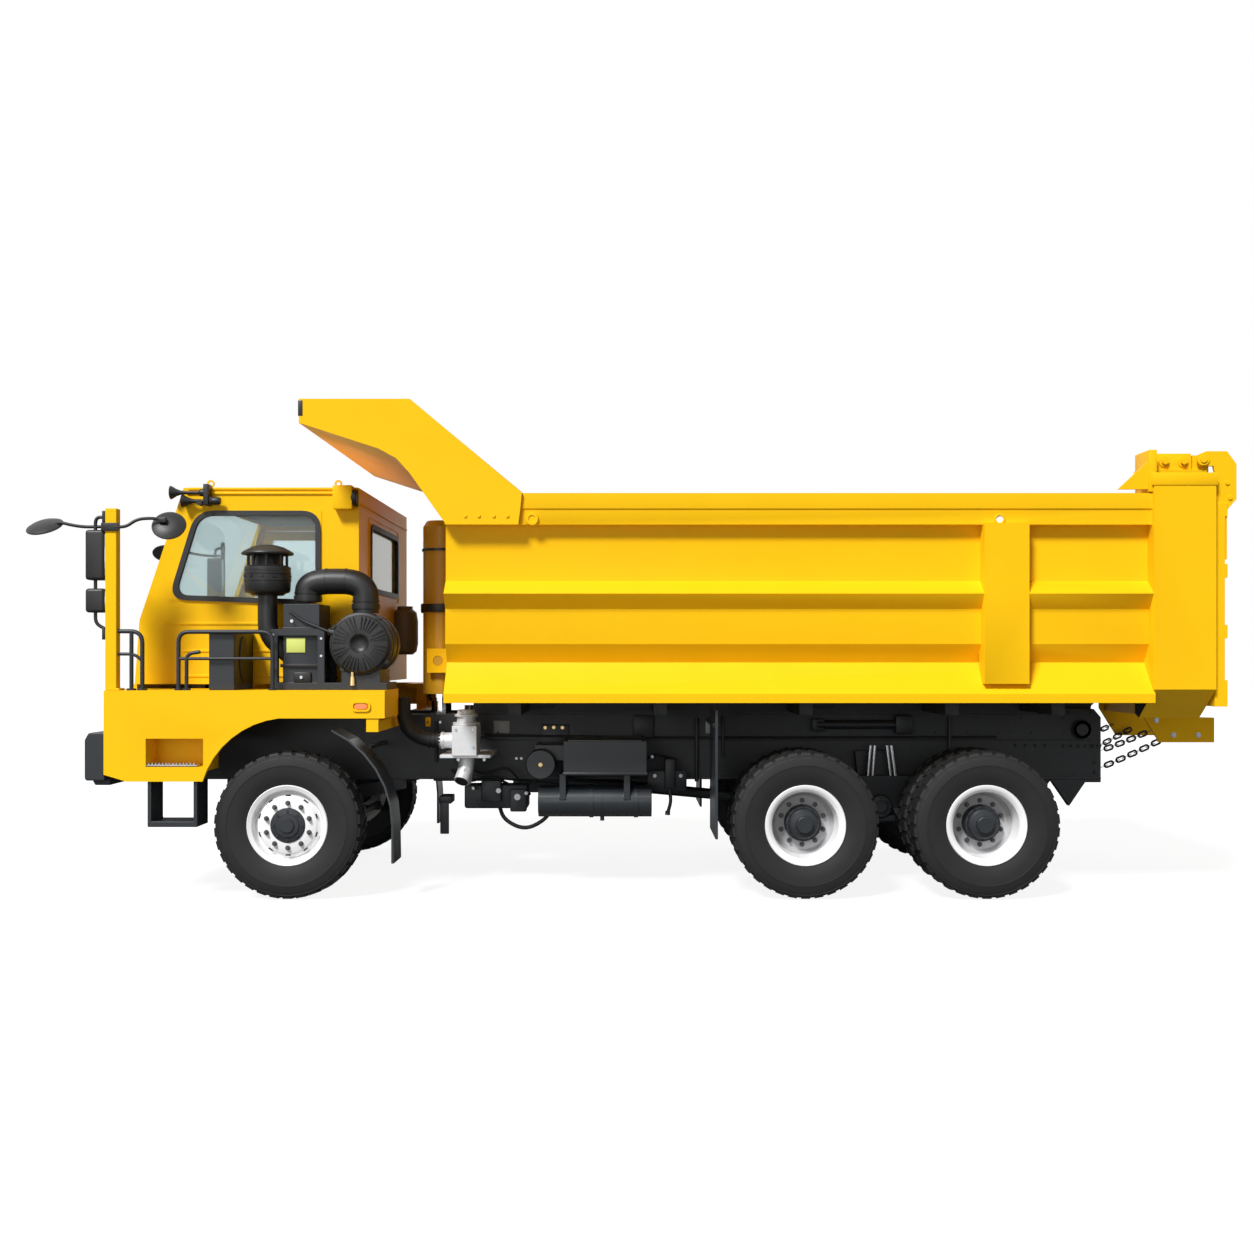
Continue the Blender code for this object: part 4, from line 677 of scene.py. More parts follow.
hoop(bm, [(-0.43, 2.36), (0.84, 2.36), (0.84, 2.87), (-0.43, 2.87)], -0.006, 0.030,
     2.084, 2.093, 0.070, 0.012)
hoop(bm, [(-0.50, 2.29), (0.91, 2.29), (0.91, 2.94), (-0.50, 2.94)], 0.0, 0.012,
     2.084, 2.094, 0.08)
bmesh.ops.rotate(bm, cent=(0, 0, 0), matrix=Matrix.Rotation(math.pi / 2, 3, "Z"), verts=bm.verts)
soft_block(bm, -2.096, -2.078, -0.86, 1.36, 3.00, 3.016, 0.004)
hoop(bm, SIDE_PANE, -0.006, 0.030, -0.905, -0.893, 0.125, 0.012)
soft_block(bm, -3.43, -2.10, -0.914, -0.897, 3.078, 3.094, 0.005)
soft_block(bm, -3.42, -2.095, -0.912, -0.893, 3.112, 3.132, 0.006)
for low_z in (2.062, 1.850, 1.655):
    soft_block(bm, -3.60 if low_z > 2 else -3.46, -2.13, -0.909, -0.897, low_z, low_z + 0.022,
               0.005)
piece("cab_pressings", bm, YELLOW, "chassis")
bm = bmesh.new()
for x in (-3.262, -2.262):
    for y in (-0.84, 1.34):
        turned(bm, [(0.016, -0.006), (0.030, -0.006), (0.030, 0.006), (0.016, 0.006),
                    (0.016, -0.006)], (x, y, 3.168), steps=24)
        soft_block(bm, x - 0.02, x + 0.02, y - 0.006, y + 0.006, 3.120, 3.148, 0.002)
soft_block(bm, -2.275, -2.125, -1.00, -0.895, 2.955, 3.140, 0.008)
piece("lifting_eyes_and_lamp_box", bm, YELLOW, "chassis")
bm = bmesh.new()
turned(bm, [(0.0, 0.012), (0.05, 0.012), (0.060, 0.004), (0.068, 0.012), (0.070, 0.0),
            (0.055, -0.03), (0.0, -0.03)], (-2.105, -0.945, 3.045), "x", 32)
piece("corner_work_lamp", bm, BLACK, "chassis")
bm = bmesh.new()
for x, z in ((-3.535, 3.085), (-3.445, 3.020)):
    turned(bm, [(0.0, 0.030), (0.028, 0.022), (0.048, 0.0), (0.053, 0.0), (0.046, 0.016),
                (0.028, 0.045), (0.016, 0.080), (0.013, 0.13), (0.013, 0.215), (0.026, 0.225),
                (0.030, 0.235), (0.030, 0.285), (0.024, 0.295), (0.0, 0.295)],
           (x, -0.962, z), "x", 28)
soft_block(bm, -3.275, -3.235, -1.0, -0.90, 2.985, 3.150, 0.006)
for x, z in ((-3.31, 3.005), (-3.22, 3.03)):
    drum(bm, (x, -0.985, z), (x, -0.93, z), 0.022, segments=12)
piece("air_horns", bm, BLACK, "chassis")
bm = bmesh.new()
turned(bm, [(0.0, 1.90), (0.07, 1.90), (0.105, 1.93), (0.118, 2.00), (0.118, 2.20),
            (0.105, 2.28), (0.07, 2.31), (0.07, 2.335), (0.0, 2.335)], (-1.985, 0.78, 0), "z", 32)
soft_block(bm, -2.10, -1.97, 0.70, 0.86, 1.98, 2.02, 0.005)
soft_block(bm, -2.10, -1.97, 0.70, 0.86, 2.20, 2.24, 0.005)
bmesh.ops.translate(bm, vec=(-0.02, 0, -0.07), verts=bm.verts)
piece("cab_filter_pod", bm, POD_GREY, "chassis")

# Inside the cab. Grey trim panels, a black dashboard with its wheel, and a sprung
# seat whose cushions are padded cloth.
FABRIC = finish("seat cloth", (0.030, 0.030, 0.034), 0.9, spread=0.2, grain=1500.0, bump=0.4)
TRIM = finish("grey cab trim", (0.30, 0.36, 0.38), 0.7, spread=0.1, bump=0.1)
dress("dashboard", BLACK)
bm = bmesh.new()
soft_block(bm, -3.40, -2.14, 1.318, 1.345, 1.66, 2.25, 0.006)
soft_block(bm, -3.36, -2.14, -0.78, 1.30, 3.035, 3.06, 0.006)
soft_block(bm, -2.138, -2.124, -0.80, 1.30, 1.66, 2.33, 0.004)
soft_block(bm, -2.545, -2.47, 1.318, 1.348, 2.25, 3.035, 0.006)
soft_block(bm, -3.40, -2.14, -0.865, -0.845, 1.66, 2.20, 0.004)
piece("cab_lining", bm, TRIM, "chassis")


def cushion(name, middle, size, tilt, stands_for=()):
    """A crowned pad with drawn-in sides and two sewn channels along it."""
    bm = bmesh.new()
    bmesh.ops.create_cube(bm, size=1)
    bmesh.ops.subdivide_edges(bm, edges=bm.edges, cuts=11, use_grid_fill=True)
    for v in bm.verts:
        u, w, h = v.co.x * 2, v.co.y * 2, v.co.z * 2
        crown = (1 - u * u) * (1 - w * w)
        edge = 1 - 0.07 * (u * u) * (1 - w * w)
        v.co.x *= (1 - 0.05 * (1 - w * w)) * (1 - 0.06 * h * h)
        v.co.y *= (1 - 0.05 * (1 - u * u)) * (1 - 0.06 * h * h)
        v.co.z *= (0.74 + 0.26 * crown) * edge
        channel = abs(abs(v.co.y) - 0.27)
        if v.co.z > 0 and channel < 0.05:
            v.co.z -= 0.10 * (1 - channel / 0.05)
    for _ in range(3):
        bmesh.ops.smooth_vert(bm, verts=bm.verts, factor=0.5, use_axis_x=True,
                              use_axis_y=True, use_axis_z=True)
    bmesh.ops.scale(bm, vec=size, verts=bm.verts)
    bmesh.ops.rotate(bm, cent=(0, 0, 0), matrix=Matrix.Rotation(tilt, 3, "Y"), verts=bm.verts)
    bmesh.ops.translate(bm, vec=middle, verts=bm.verts)
    item = piece(name, bm, FABRIC, "chassis", stands_for, 80)
    soft = item.modifiers.new("soft", "SUBSURF")
    soft.levels = soft.render_levels = 1


cushion("seat_cushion", (-2.67, 0.72, 2.10), (0.50, 0.50, 0.17), 0.0, ("driver_seat",))
cushion("seat_back", (-2.455, 0.72, 2.46), (0.66, 0.50, 0.15), -1.40)
bm = bmesh.new()
soft_block(bm, -2.86, -2.50, 0.56, 0.88, 1.655, 1.72, 0.01)
soft_block(bm, -2.80, -2.56, 0.62, 0.82, 1.72, 1.97, 0.02)
soft_block(bm, -2.88, -2.48, 0.54, 0.90, 1.97, 2.03, 0.01)
piece("seat_base", bm, BLACK, "chassis")

# Handrails. Bent steel tube on welded feet along the outer edge of the deck.
def softened(points, reach=0.05, steps=5):
    """A route whose corners are rounded into bends."""
    points = [Vector(p) for p in points]
    route = [points[0]]
    for before, corner, after in zip(points, points[1:], points[2:]):
        near = corner + (before - corner).normalized() * min(reach, (before - corner).length / 2)
        far = corner + (after - corner).normalized() * min(reach, (after - corner).length / 2)
        for i in range(steps + 1):
            t = i / steps
            route.append(near.lerp(corner, t).lerp(corner.lerp(far, t), t))
    return route + [points[-1]]


def bent_tube(bm, points, radius, segments=12):
    """A round tube that follows a route, with flat ends."""
    turns = []
    for i, point in enumerate(points):
        ahead = points[min(i + 1, len(points) - 1)] - points[max(i - 1, 0)]
        if i == 0:
            spin = ahead.to_track_quat("Z", "Y")
        else:
            spin = heading.rotation_difference(ahead) @ spin
        heading = ahead
        turns.append(Matrix.Translation(point) @ spin.to_matrix().to_4x4())
    ring = bmesh.ops.create_circle(bm, cap_ends=False, segments=segments, radius=radius,
                                   matrix=turns[0])["verts"]
    edges = list({e for v in ring for e in v.link_edges})
    first = list(edges)
    for before, after in zip(turns, turns[1:]):
        walls = bmesh.ops.extrude_edge_only(bm, edges=edges)["geom"]
        ring = [v for v in walls if isinstance(v, bmesh.types.BMVert)]
        edges = [e for e in walls if isinstance(e, bmesh.types.BMEdge)
                 and e.verts[0] in ring and e.verts[1] in ring]
        bmesh.ops.transform(bm, matrix=after @ before.inverted(), verts=ring)
    bmesh.ops.edgeloop_fill(bm, edges=first)
    bmesh.ops.edgeloop_fill(bm, edges=edges)


rail_y = -1.45
bm = bmesh.new()
bent_tube(bm, softened([(-3.758, rail_y, 2.002), (-3.582, rail_y, 2.002),
                        (-3.582, rail_y, 1.567)], 0.09, 8), 0.016)
bent_tube(bm, [Vector((-3.662, rail_y, 1.567)), Vector((-3.662, rail_y, 2.000))], 0.015)
bent_tube(bm, softened([(-3.758, rail_y, 1.834), (-3.640, rail_y, 1.834),
                        (-3.590, rail_y, 1.79)], 0.05), 0.012)
for x in (-3.662, -3.582):
    drum(bm, (x, rail_y, 1.567), (x, rail_y, 1.580), 0.035)
piece("front_handrail_tube", bm, CHARCOAL, "chassis", ("front_handrail",))
bm = bmesh.new()
bent_tube(bm, softened([(-3.315, rail_y, 1.567), (-3.315, rail_y, 1.998),
                        (-2.62, rail_y, 1.998), (-2.62, rail_y, 1.567)], 0.08), 0.016)
bent_tube(bm, softened([(-3.255, rail_y, 1.567), (-3.255, rail_y, 1.835),
                        (-3.155, rail_y, 1.85)], 0.05), 0.014)
bent_tube(bm, [Vector((-3.310, rail_y, 1.80)), Vector((-2.626, rail_y, 1.80))], 0.012)
for x in (-3.315, -3.255, -2.62):
    drum(bm, (x, rail_y, 1.567), (x, rail_y, 1.580), 0.03)
piece("rear_handrail_tube", bm, CHARCOAL, "chassis", ("rear_handrail",))

# Mirrors. Moulded heads on bent black tube, clamped to a tall box post; a round
# convex one reaches ahead of the post, another looks back from behind it.
MIRROR = finish("mirror silver", (0.55, 0.57, 0.60), 0.06, 1.0, spread=0.02, bump=0.0)
rounded("left_mirror_post", YELLOW, "chassis", 0.010, 3)


def round_mirror(bm, centre, radius, tilt_x, tilt_y):
    """A shallow round mirror shell, tilted about X and then about Y."""
    at = len(bm.verts)
    turned(bm, [(0.0, 0.020), (0.05, 0.018), (radius * 0.75, 0.010), (radius, -0.006),
                (radius + 0.003, -0.012), (radius, -0.018), (radius * 0.96, -0.014),
                (0.0, -0.012)], (0, 0, 0), "z", 40)
    bm.verts.ensure_lookup_table()
    fresh = bm.verts[at:]
    turn = Matrix.Rotation(tilt_y, 4, "Y") @ Matrix.Rotation(tilt_x, 4, "X")
    bmesh.ops.transform(bm, matrix=Matrix.Translation(centre) @ turn, verts=fresh)


for side, hand in (("left", -1), ("right", 1)):
    bm = bmesh.new()
    mid = hand * 1.445
    soft_block(bm, -3.992, -3.85, hand * 1.37, hand * 1.492, 2.38, 2.75, 0.022, 4)
    soft_block(bm, -3.992, -3.85, hand * 1.39, hand * 1.490, 2.14, 2.318, 0.022, 4)
    bent_tube(bm, softened([(-3.93, mid, 2.74), (-3.93, mid, 2.845), (-3.862, mid, 2.845)],
                           0.05), 0.013)
    bent_tube(bm, [Vector((-3.93, mid, 2.39)), Vector((-3.93, mid, 2.31))], 0.013)
    bent_tube(bm, softened([(-3.93, mid, 2.15), (-3.93, mid, 2.06), (-3.86, mid, 2.02)],
                           0.05), 0.013)
    soft_block(bm, -3.868, -3.846, hand * 1.405, hand * 1.485, 2.80, 2.89, 0.004)
    soft_block(bm, -3.868, -3.846, hand * 1.405, hand * 1.485, 1.94, 2.03, 0.004)
    bent_tube(bm, softened([(-3.852, mid, 2.775), (-4.02, hand * 1.43, 2.775),
                            (-4.12, hand * 1.40, 2.79), (-4.22, hand * 1.37, 2.815),
                            (-4.33, hand * 1.36, 2.802)], 0.05), 0.012)
    round_mirror(bm, (-4.345, hand * 1.36, 2.795), 0.133, hand * -0.52, -0.12)
    if hand < 0:
        soft_block(bm, -3.87, -3.74, -1.50, -1.485, 2.74, 2.80, 0.003)
        bent_tube(bm, softened([(-3.77, -1.492, 2.77), (-3.69, -1.48, 2.77),
                                (-3.62, -1.46, 2.83), (-3.50, -1.44, 2.84),
                                (-3.44, -1.42, 2.82)], 0.05), 0.012)
        round_mirror(bm, (-3.405, -1.395, 2.795), 0.122, 1.02, 0.25)
        soft_block(bm, -3.47, -3.41, -1.445, -1.405, 2.805, 2.845, 0.008)
    else:
        bent_tube(bm, softened([(-3.86, 1.445, 2.00), (-3.76, 1.40, 2.03),
                                (-3.68, 1.30, 2.06)], 0.05), 0.018)
        bent_tube(bm, [Vector((-3.858, 1.445, 1.94)), Vector((-3.858, 1.445, 2.90))], 0.02)
    piece(side + "_mirror_heads", bm, BLACK, "chassis", (side + "_mirrors",))
    bm = bmesh.new()
    soft_block(bm, -3.853, -3.847, hand * 1.385, hand * 1.475, 2.41, 2.72, 0.002)
    soft_block(bm, -3.853, -3.847, hand * 1.40, hand * 1.472, 2.165, 2.295, 0.002)
    piece(side + "_mirror_glass", bm, MIRROR, "chassis")

# Oil cooler. A finned core in a folded box on the deck, with an oval outlet on its
# rear face.
rounded("oil_cooler", CHARCOAL, "chassis", 0.006)
# The outlet is a thin black oval disc on the rear face: painted shade for the opening.
bm = bmesh.new()
drum(bm, (-2.913, 0, 0), (-2.904, 0, 0), 0.5, segments=40)
bmesh.ops.scale(bm, vec=(1, 0.20, 0.34), verts=bm.verts)
bmesh.ops.translate(bm, vec=(0, -1.19, 1.795), verts=bm.verts)
piece("oil_cooler_outlet", bm, RUBBER_AND_OPENING_SHADE, "chassis")

# Air intake. A moulded precleaner with a rain cap, its duct, the boxy first filter in
# a frame of steel angle, a fat moulded bend and a drum-shaped main filter.
BRASS = finish("brass", (0.78, 0.58, 0.28), 0.30, 1.0)
STICKER = finish("blank yellow plate", (0.62, 0.68, 0.16), 0.40, spread=0.05)
INTAKE_Y = -1.15
bm = bmesh.new()
turned(bm, [(0.0, 2.648), (0.06, 2.644), (0.12, 2.628), (0.165, 2.604), (0.191, 2.588),
            (0.194, 2.580), (0.191, 2.571), (0.170, 2.571), (0.150, 2.565), (0.0, 2.565)],
       (-2.735, INTAKE_Y, 0), "z", 64)
turned(bm, [(0.0, 2.487), (0.150, 2.487), (0.160, 2.482), (0.172, 2.474), (0.174, 2.462),
            (0.172, 2.440), (0.176, 2.436), (0.176, 2.424), (0.172, 2.420), (0.172, 2.392),
            (0.177, 2.388), (0.177, 2.372), (0.172, 2.368), (0.170, 2.30), (0.160, 2.285),
            (0.130, 2.275), (0.118, 2.262), (0.0, 2.262)], (-2.735, INTAKE_Y, 0), "z", 64)
for i in range(8):
    angle = 2 * math.pi * (i + 0.25) / 8
    x, y = -2.735 + 0.142 * math.cos(angle), INTAKE_Y + 0.142 * math.sin(angle)
    drum(bm, (x, y, 2.480), (x, y, 2.575), 0.011, segments=10)
turned(bm, [(0.0, 2.49), (0.100, 2.49), (0.085, 2.56), (0.0, 2.57)],
       (-2.735, INTAKE_Y, 0), "z", 32)
for i in range(12):
    angle = 2 * math.pi * i / 12
    spot = Matrix.Translation((-2.735, INTAKE_Y, 2.405)) @ Matrix.Rotation(angle, 4, "Z")
    bmesh.ops.create_cube(bm, size=1, matrix=spot @ Matrix.Translation((0.176, 0, 0)) @
                          Matrix.Diagonal((0.010, 0.022, 0.016, 1)))
bent_tube(bm, softened([(-2.735, INTAKE_Y, 2.27), (-2.735, INTAKE_Y, 1.96),
                        (-2.60, INTAKE_Y, 1.84), (-2.55, INTAKE_Y, 1.80)], 0.10), 0.074, 28)
bmesh.ops.translate(bm, vec=(0, 0, 0.018), verts=bm.verts)
piece("precleaner_moulding", bm, BLACK, "chassis", ("precleaner",))
rounded("filter_rack", CHARCOAL, "chassis", 0.004)
bm = bmesh.new()
soft_block(bm, -2.545, -2.405, -1.338, -1.331, 1.845, 1.955, 0.002)
piece("rack_blank_plate", bm, STICKER, "chassis")
bm = bmesh.new()
soft_block(bm, -2.575, -2.295, -1.345, -1.325, 2.00, 2.035, 0.004)
soft_block(bm, -2.59, -2.28, -1.350, -1.330, 1.735, 1.760, 0.004)
soft_block(bm, -2.49, -2.36, -1.350, -1.330, 1.62, 1.70, 0.010)
bent_tube(bm, softened([(-2.52, -1.34, 2.15), (-2.42, -1.35, 2.08), (-2.32, -1.36, 2.04),
                        (-2.17, -1.37, 1.98)], 0.05), 0.010)
drum(bm, (-2.23, -1.345, 2.0), (-2.14, -1.345, 1.99), 0.028)
piece("rack_straps", bm, BLACK, "chassis")
bm = bmesh.new()
for x, z in ((-2.635, 1.98), (-2.635, 1.90), (-2.635, 1.72), (-2.28, 1.95), (-2.28, 1.82),
             (-2.50, 2.08), (-2.43, 1.66)):
    bolt(bm, (x, -1.356, z), 0.010, 0.010)
piece("rack_bolts", bm, STEEL, "chassis")
bm = bmesh.new()
bent_tube(bm, softened([(-2.3925, INTAKE_Y, 2.205), (-2.3925, INTAKE_Y, 2.362),
                        (-1.9525, INTAKE_Y, 2.362), (-1.9525, INTAKE_Y, 2.12)], 0.19, 12),
          0.098, 40)
for x, low_z in ((-2.3925, 2.212), (-1.9525, 2.150)):
    turned(bm, [(0.09, low_z), (0.106, low_z), (0.107, low_z + 0.012), (0.106, low_z + 0.04),
                (0.09, low_z + 0.045), (0.09, low_z)], (x, INTAKE_Y, 0), "z", 40)
    turned(bm, [(0.09, low_z + 0.055), (0.104, low_z + 0.055), (0.104, low_z + 0.066),
                (0.09, low_z + 0.066), (0.09, low_z + 0.055)], (x, INTAKE_Y, 0), "z", 40)
for x in (-2.25, -2.10):
    turned(bm, [(0.09, -0.004), (0.1005, -0.004), (0.1005, 0.004), (0.09, 0.004),
                (0.09, -0.004)], (x, INTAKE_Y, 2.362), "x", 40)
bmesh.ops.translate(bm, vec=(-0.035, 0, 0.025), verts=bm.verts)
piece("intake_bend", bm, BLACK, "chassis", ("intake_pipe",))
bm = bmesh.new()
centre = (-1.985, -1.42, 1.91)
turned(bm, [(0.0, -0.030), (0.030, -0.029), (0.055, -0.020), (0.070, -0.002), (0.080, 0.0),
            (0.150, -0.003), (0.205, -0.012), (0.213, -0.020), (0.215, -0.055),
            (0.232, -0.060), (0.236, -0.070), (0.236, -0.100), (0.230, -0.105),
            (0.230, -0.150), (0.237, -0.155), (0.237, -0.185), (0.230, -0.19),
            (0.230, -0.33), (0.236, -0.335), (0.236, -0.36), (0.230, -0.365),
            (0.226, -0.47), (0.20, -0.49), (0.0, -0.49)], centre, steps=80, hand=-1)
for i in range(40):
    if i % 10 == 5:
        reach, wide = 0.125, 0.009
    elif i % 10 in (0, 9, 1) or i % 2 == 0:
        reach, wide = 0.100, 0.004
    else:
        continue
    angle = 2 * math.pi * i / 40 + 0.4
    spot = Matrix.Translation(centre) @ Matrix.Rotation(angle, 4, "Y")
    middle = 0.205 - reach / 2
    bmesh.ops.create_cube(bm, size=1, matrix=spot @ Matrix.Translation((middle, -0.001, 0)) @
                          Matrix.Diagonal((reach, 0.014, wide, 1)))
for angle in (0.6, 2.2, 3.7, 5.3):
    spot = Matrix.Translation(centre) @ Matrix.Rotation(angle, 4, "Y")
    bmesh.ops.create_cube(bm, size=1, matrix=spot @ Matrix.Translation((0.236, 0.085, 0)) @
                          Matrix.Diagonal((0.020, 0.070, 0.035, 1)))
piece("air_cleaner_drum", bm, BLACK, "chassis", ("air_cleaner",))
bm = bmesh.new()
drum(bm, (-2.045, -1.375, 1.60), (-2.045, -1.375, 1.665), 0.022, 0.018)
drum(bm, (-2.045, -1.375, 1.665), (-2.045, -1.375, 1.70), 0.013, segments=12)
piece("drain_valve", bm, BRASS, "chassis")

# Exhaust. A cast box on a steel shelf with a chromed inlet, a riser and a bent
# outlet, fed through a fat corrugated rubber hose.
CAST = finish("cast grey steel", (0.66, 0.67, 0.68), 0.46, 0.35, spread=0.10, scale=14.0,
              grain=300.0, bump=0.15)
rounded("exhaust_box", CAST, "chassis", 0.006)
bm = bmesh.new()
turned(bm, [(0.058, -1.350), (0.072, -1.350), (0.073, -1.362), (0.062, -1.366),
            (0.060, -1.425), (0.066, -1.430), (0.066, -1.450), (0.058, -1.455),
            (0.058, -1.350)], (0, -0.87, 1.16), "x", 36)
turned(bm, [(0.0, 1.281), (0.105, 1.281), (0.106, 1.300), (0.074, 1.304), (0.074, 1.345),
            (0.092, 1.348), (0.092, 1.364), (0.072, 1.368), (0.066, 1.40), (0.0, 1.40)],
       (-1.255, -0.87, 0), "z", 36)
piece("exhaust_fittings", bm, CAST, "chassis")
bm = bmesh.new()
bent_tube(bm, softened([(-1.255, -0.87, 1.04), (-1.257, -0.87, 0.94),
                        (-1.285, -0.945, 0.845)], 0.07), 0.060, 32)
piece("exhaust_outlet", bm, CAST, "chassis")
# A thin black disc on the outlet's closed end: painted shade for the dark inside of the open pipe.
bm = bmesh.new()
end, way = Vector((-1.285, -0.945, 0.845)), Vector((-0.028, -0.075, -0.095)).normalized()
drum(bm, end - way * 0.002, end + way * 0.0015, 0.052, segments=32)
piece("exhaust_mouth", bm, RUBBER_AND_OPENING_SHADE, "chassis")
bm = bmesh.new()
for x, z in ((-1.185, 1.115), (-1.32, 1.25), (-1.185, 1.25), (-1.30, 1.02), (-1.10, 1.02)):
    bolt(bm, (x, -1.018, z), 0.010, 0.010)
piece("exhaust_bolts", bm, STEEL, "chassis")
bm = bmesh.new()
route = softened([(-1.44, -0.87, 1.16), (-1.60, -0.87, 1.165), (-1.745, -0.87, 1.27),
                  (-1.745, -0.87, 1.498)], 0.12, 10)
bent_tube(bm, route, 0.054, 32)
for at in (Vector((-1.475, -0.87, 1.16)), Vector((-1.505, -0.87, 1.16)),
           Vector((-1.545, -0.87, 1.16))):
    turned(bm, [(0.05, -0.007), (0.060, -0.007), (0.060, 0.007), (0.05, 0.007),
                (0.05, -0.007)], at, "x", 32)
piece("exhaust_hose_rubber", bm, RUBBER, "chassis", ("exhaust_hose",))

# Left side of the frame. A battery box under a domed lid, a spring-brake pot, an air
# tank in two straps, small plates, pipes and levers, all bolted to the rail.
SATIN = finish("satin charcoal enamel", (0.024, 0.029, 0.034), 0.34, spread=0.12, coat=0.1,
               bump=0.03)
PLATE_GREY = finish("blank grey plate", (0.30, 0.31, 0.32), 0.4, spread=0.08)
rounded("battery_box", SATIN, "chassis", 0.010, 3)
rounded("air_tank", SATIN, "chassis", 0.014, 4)
bm = bmesh.new()
soft_block(bm, -0.500, 0.160, -1.000, -0.44, 0.896, 0.922, 0.008)
soft_block(bm, -0.46, 0.12, -0.975, -0.46, 1.15, 1.172, 0.010)
for x in (-0.28, 0.07):
    turned(bm, [(0.120, x - 0.016), (0.131, x - 0.016), (0.131, x + 0.016), (0.120, x + 0.016),
                (0.120, x - 0.016)], (0, -0.80, 0.681), "x", 40)
turned(bm, [(0.120, -0.202), (0.129, -0.202), (0.129, -0.190), (0.120, -0.190),
            (0.120, -0.202)], (0, -0.80, 0.681), "x", 40)
drum(bm, (-0.195, -0.80, 0.525), (-0.195, -0.80, 0.56), 0.016)
piece("tank_straps", bm, SATIN, "chassis")
bm = bmesh.new()
drum(bm, (-0.67, -0.975, 0.977), (-0.67, -0.955, 0.977), 0.016, 0.012)
for x, z in ((-0.665, 1.236), (-0.595, 1.238), (-0.525, 1.236)):
    bolt(bm, (x, -0.447, z), 0.011, 0.010)
piece("brass_fittings", bm, BRASS, "chassis")
bm = bmesh.new()
soft_block(bm, -0.70, -0.47, -0.448, -0.425, 1.05, 1.262, 0.008)
soft_block(bm, 0.162, 0.478, -0.62, -0.60, 0.735, 0.900, 0.006)
soft_block(bm, 0.30, 0.388, -0.66, -0.60, 0.755, 1.000, 0.014)
soft_block(bm, 0.150, 0.300, -0.60, -0.43, 0.76, 0.79, 0.004)
bent_tube(bm, softened([(0.34, -0.665, 0.76), (0.35, -0.68, 0.66), (0.325, -0.68, 0.575)],
                       0.04), 0.014)
drum(bm, (0.325, -0.68, 0.585), (0.322, -0.68, 0.555), 0.020)
bent_tube(bm, [Vector((0.565, -0.455, 1.31)), Vector((0.565, -0.455, 0.80))], 0.016)
soft_block(bm, 0.05, 0.22, -0.462, -0.43, 1.155, 1.335, 0.010)
soft_block(bm, 1.50, 1.60, -0.50, -0.43, 1.21, 1.31, 0.008)
drum(bm, (1.54, -0.475, 1.263), (2.20, -0.475, 1.263), 0.036, segments=32)
soft_block(bm, 2.17, 2.31, -0.53, -0.43, 1.19, 1.34, 0.014)
soft_block(bm, -1.30, -0.79, -0.64, -0.44, 0.60, 0.79, 0.02)
soft_block(bm, -1.16, -1.00, -0.70, -0.60, 0.66, 0.83, 0.015)
soft_block(bm, -0.93, -0.80, -0.69, -0.60, 0.58, 0.76, 0.012)
soft_block(bm, -1.49, -1.42, -0.66, -0.64, 0.40, 0.66, 0.006)
soft_block(bm, -1.50, -1.40, -0.66, -0.44, 0.64, 0.70, 0.008)
for x, z in ((2.62, 1.24), (0.78, 1.24), (-1.55, 1.20)):
    bent_tube(bm, [Vector((x, -0.452, z + 0.09)), Vector((x, -0.452, z - 0.24))], 0.012)
piece("rail_brackets", bm, CHARCOAL, "chassis")
bm = bmesh.new()
bent_tube(bm, softened([(-1.03, -0.55, 0.62), (-0.99, -0.56, 0.50), (-0.82, -0.57, 0.42),
                        (-0.66, -0.57, 0.50), (-0.60, -0.56, 0.60)], 0.09, 8), 0.016, 16)
bent_tube(bm, softened([(-1.42, -0.50, 0.90), (-1.30, -0.56, 0.80), (-1.08, -0.60, 0.86),
                        (-0.86, -0.55, 0.74), (-0.70, -0.52, 0.84)], 0.08), 0.011)
bent_tube(bm, softened([(-1.38, -0.52, 0.98), (-1.16, -0.57, 0.86), (-0.96, -0.60, 0.94),
                        (-0.78, -0.52, 0.70)], 0.08), 0.009)
bent_tube(bm, softened([(-0.02, -0.46, 1.02), (0.16, -0.55, 0.99), (0.24, -0.58, 1.03),
                        (0.40, -0.50, 0.98)], 0.05), 0.010)
bent_tube(bm, softened([(-1.78, -0.46, 1.17), (-1.0, -0.448, 1.172), (0.4, -0.448, 1.155),
                        (3.0, -0.448, 1.16)], 0.05), 0.010)
piece("brake_hoses", bm, RUBBER, "chassis")
bm = bmesh.new()
for x, z, r in ((-1.02, 0.75, 0.020), (-0.87, 0.70, 0.026), (-1.22, 0.77, 0.012),
                (-0.80, 0.73, 0.014), (0.20, 1.02, 0.012), (-0.18, 0.60, 0.010)):
    drum(bm, (x, -0.715, z), (x, -0.66, z), r, segments=12)
for x, z in ((0.222, 0.86), (0.43, 0.86), (0.33, 0.80)):
    bolt(bm, (x, -0.618, z), 0.012, 0.010)
for x in (-1.62, -1.52, -1.36, -0.90, -0.86):
    bolt(bm, (x, -0.432, 1.28 if x < -1 else 0.985), 0.009, 0.008)
piece("bright_fittings", bm, STEEL, "chassis")
bm = bmesh.new()
soft_block(bm, -1.085, -0.955, -0.436, -0.428, 1.190, 1.292, 0.002)
soft_block(bm, 0.640, 0.700, -0.436, -0.428, 1.190, 1.290, 0.002)
piece("blank_plates", bm, PLATE_GREY, "chassis")
bm = bmesh.new()
soft_block(bm, -1.640, -1.598, -0.440, -0.428, 1.245, 1.320, 0.003)
piece("tag_plate", bm, YELLOW, "chassis")

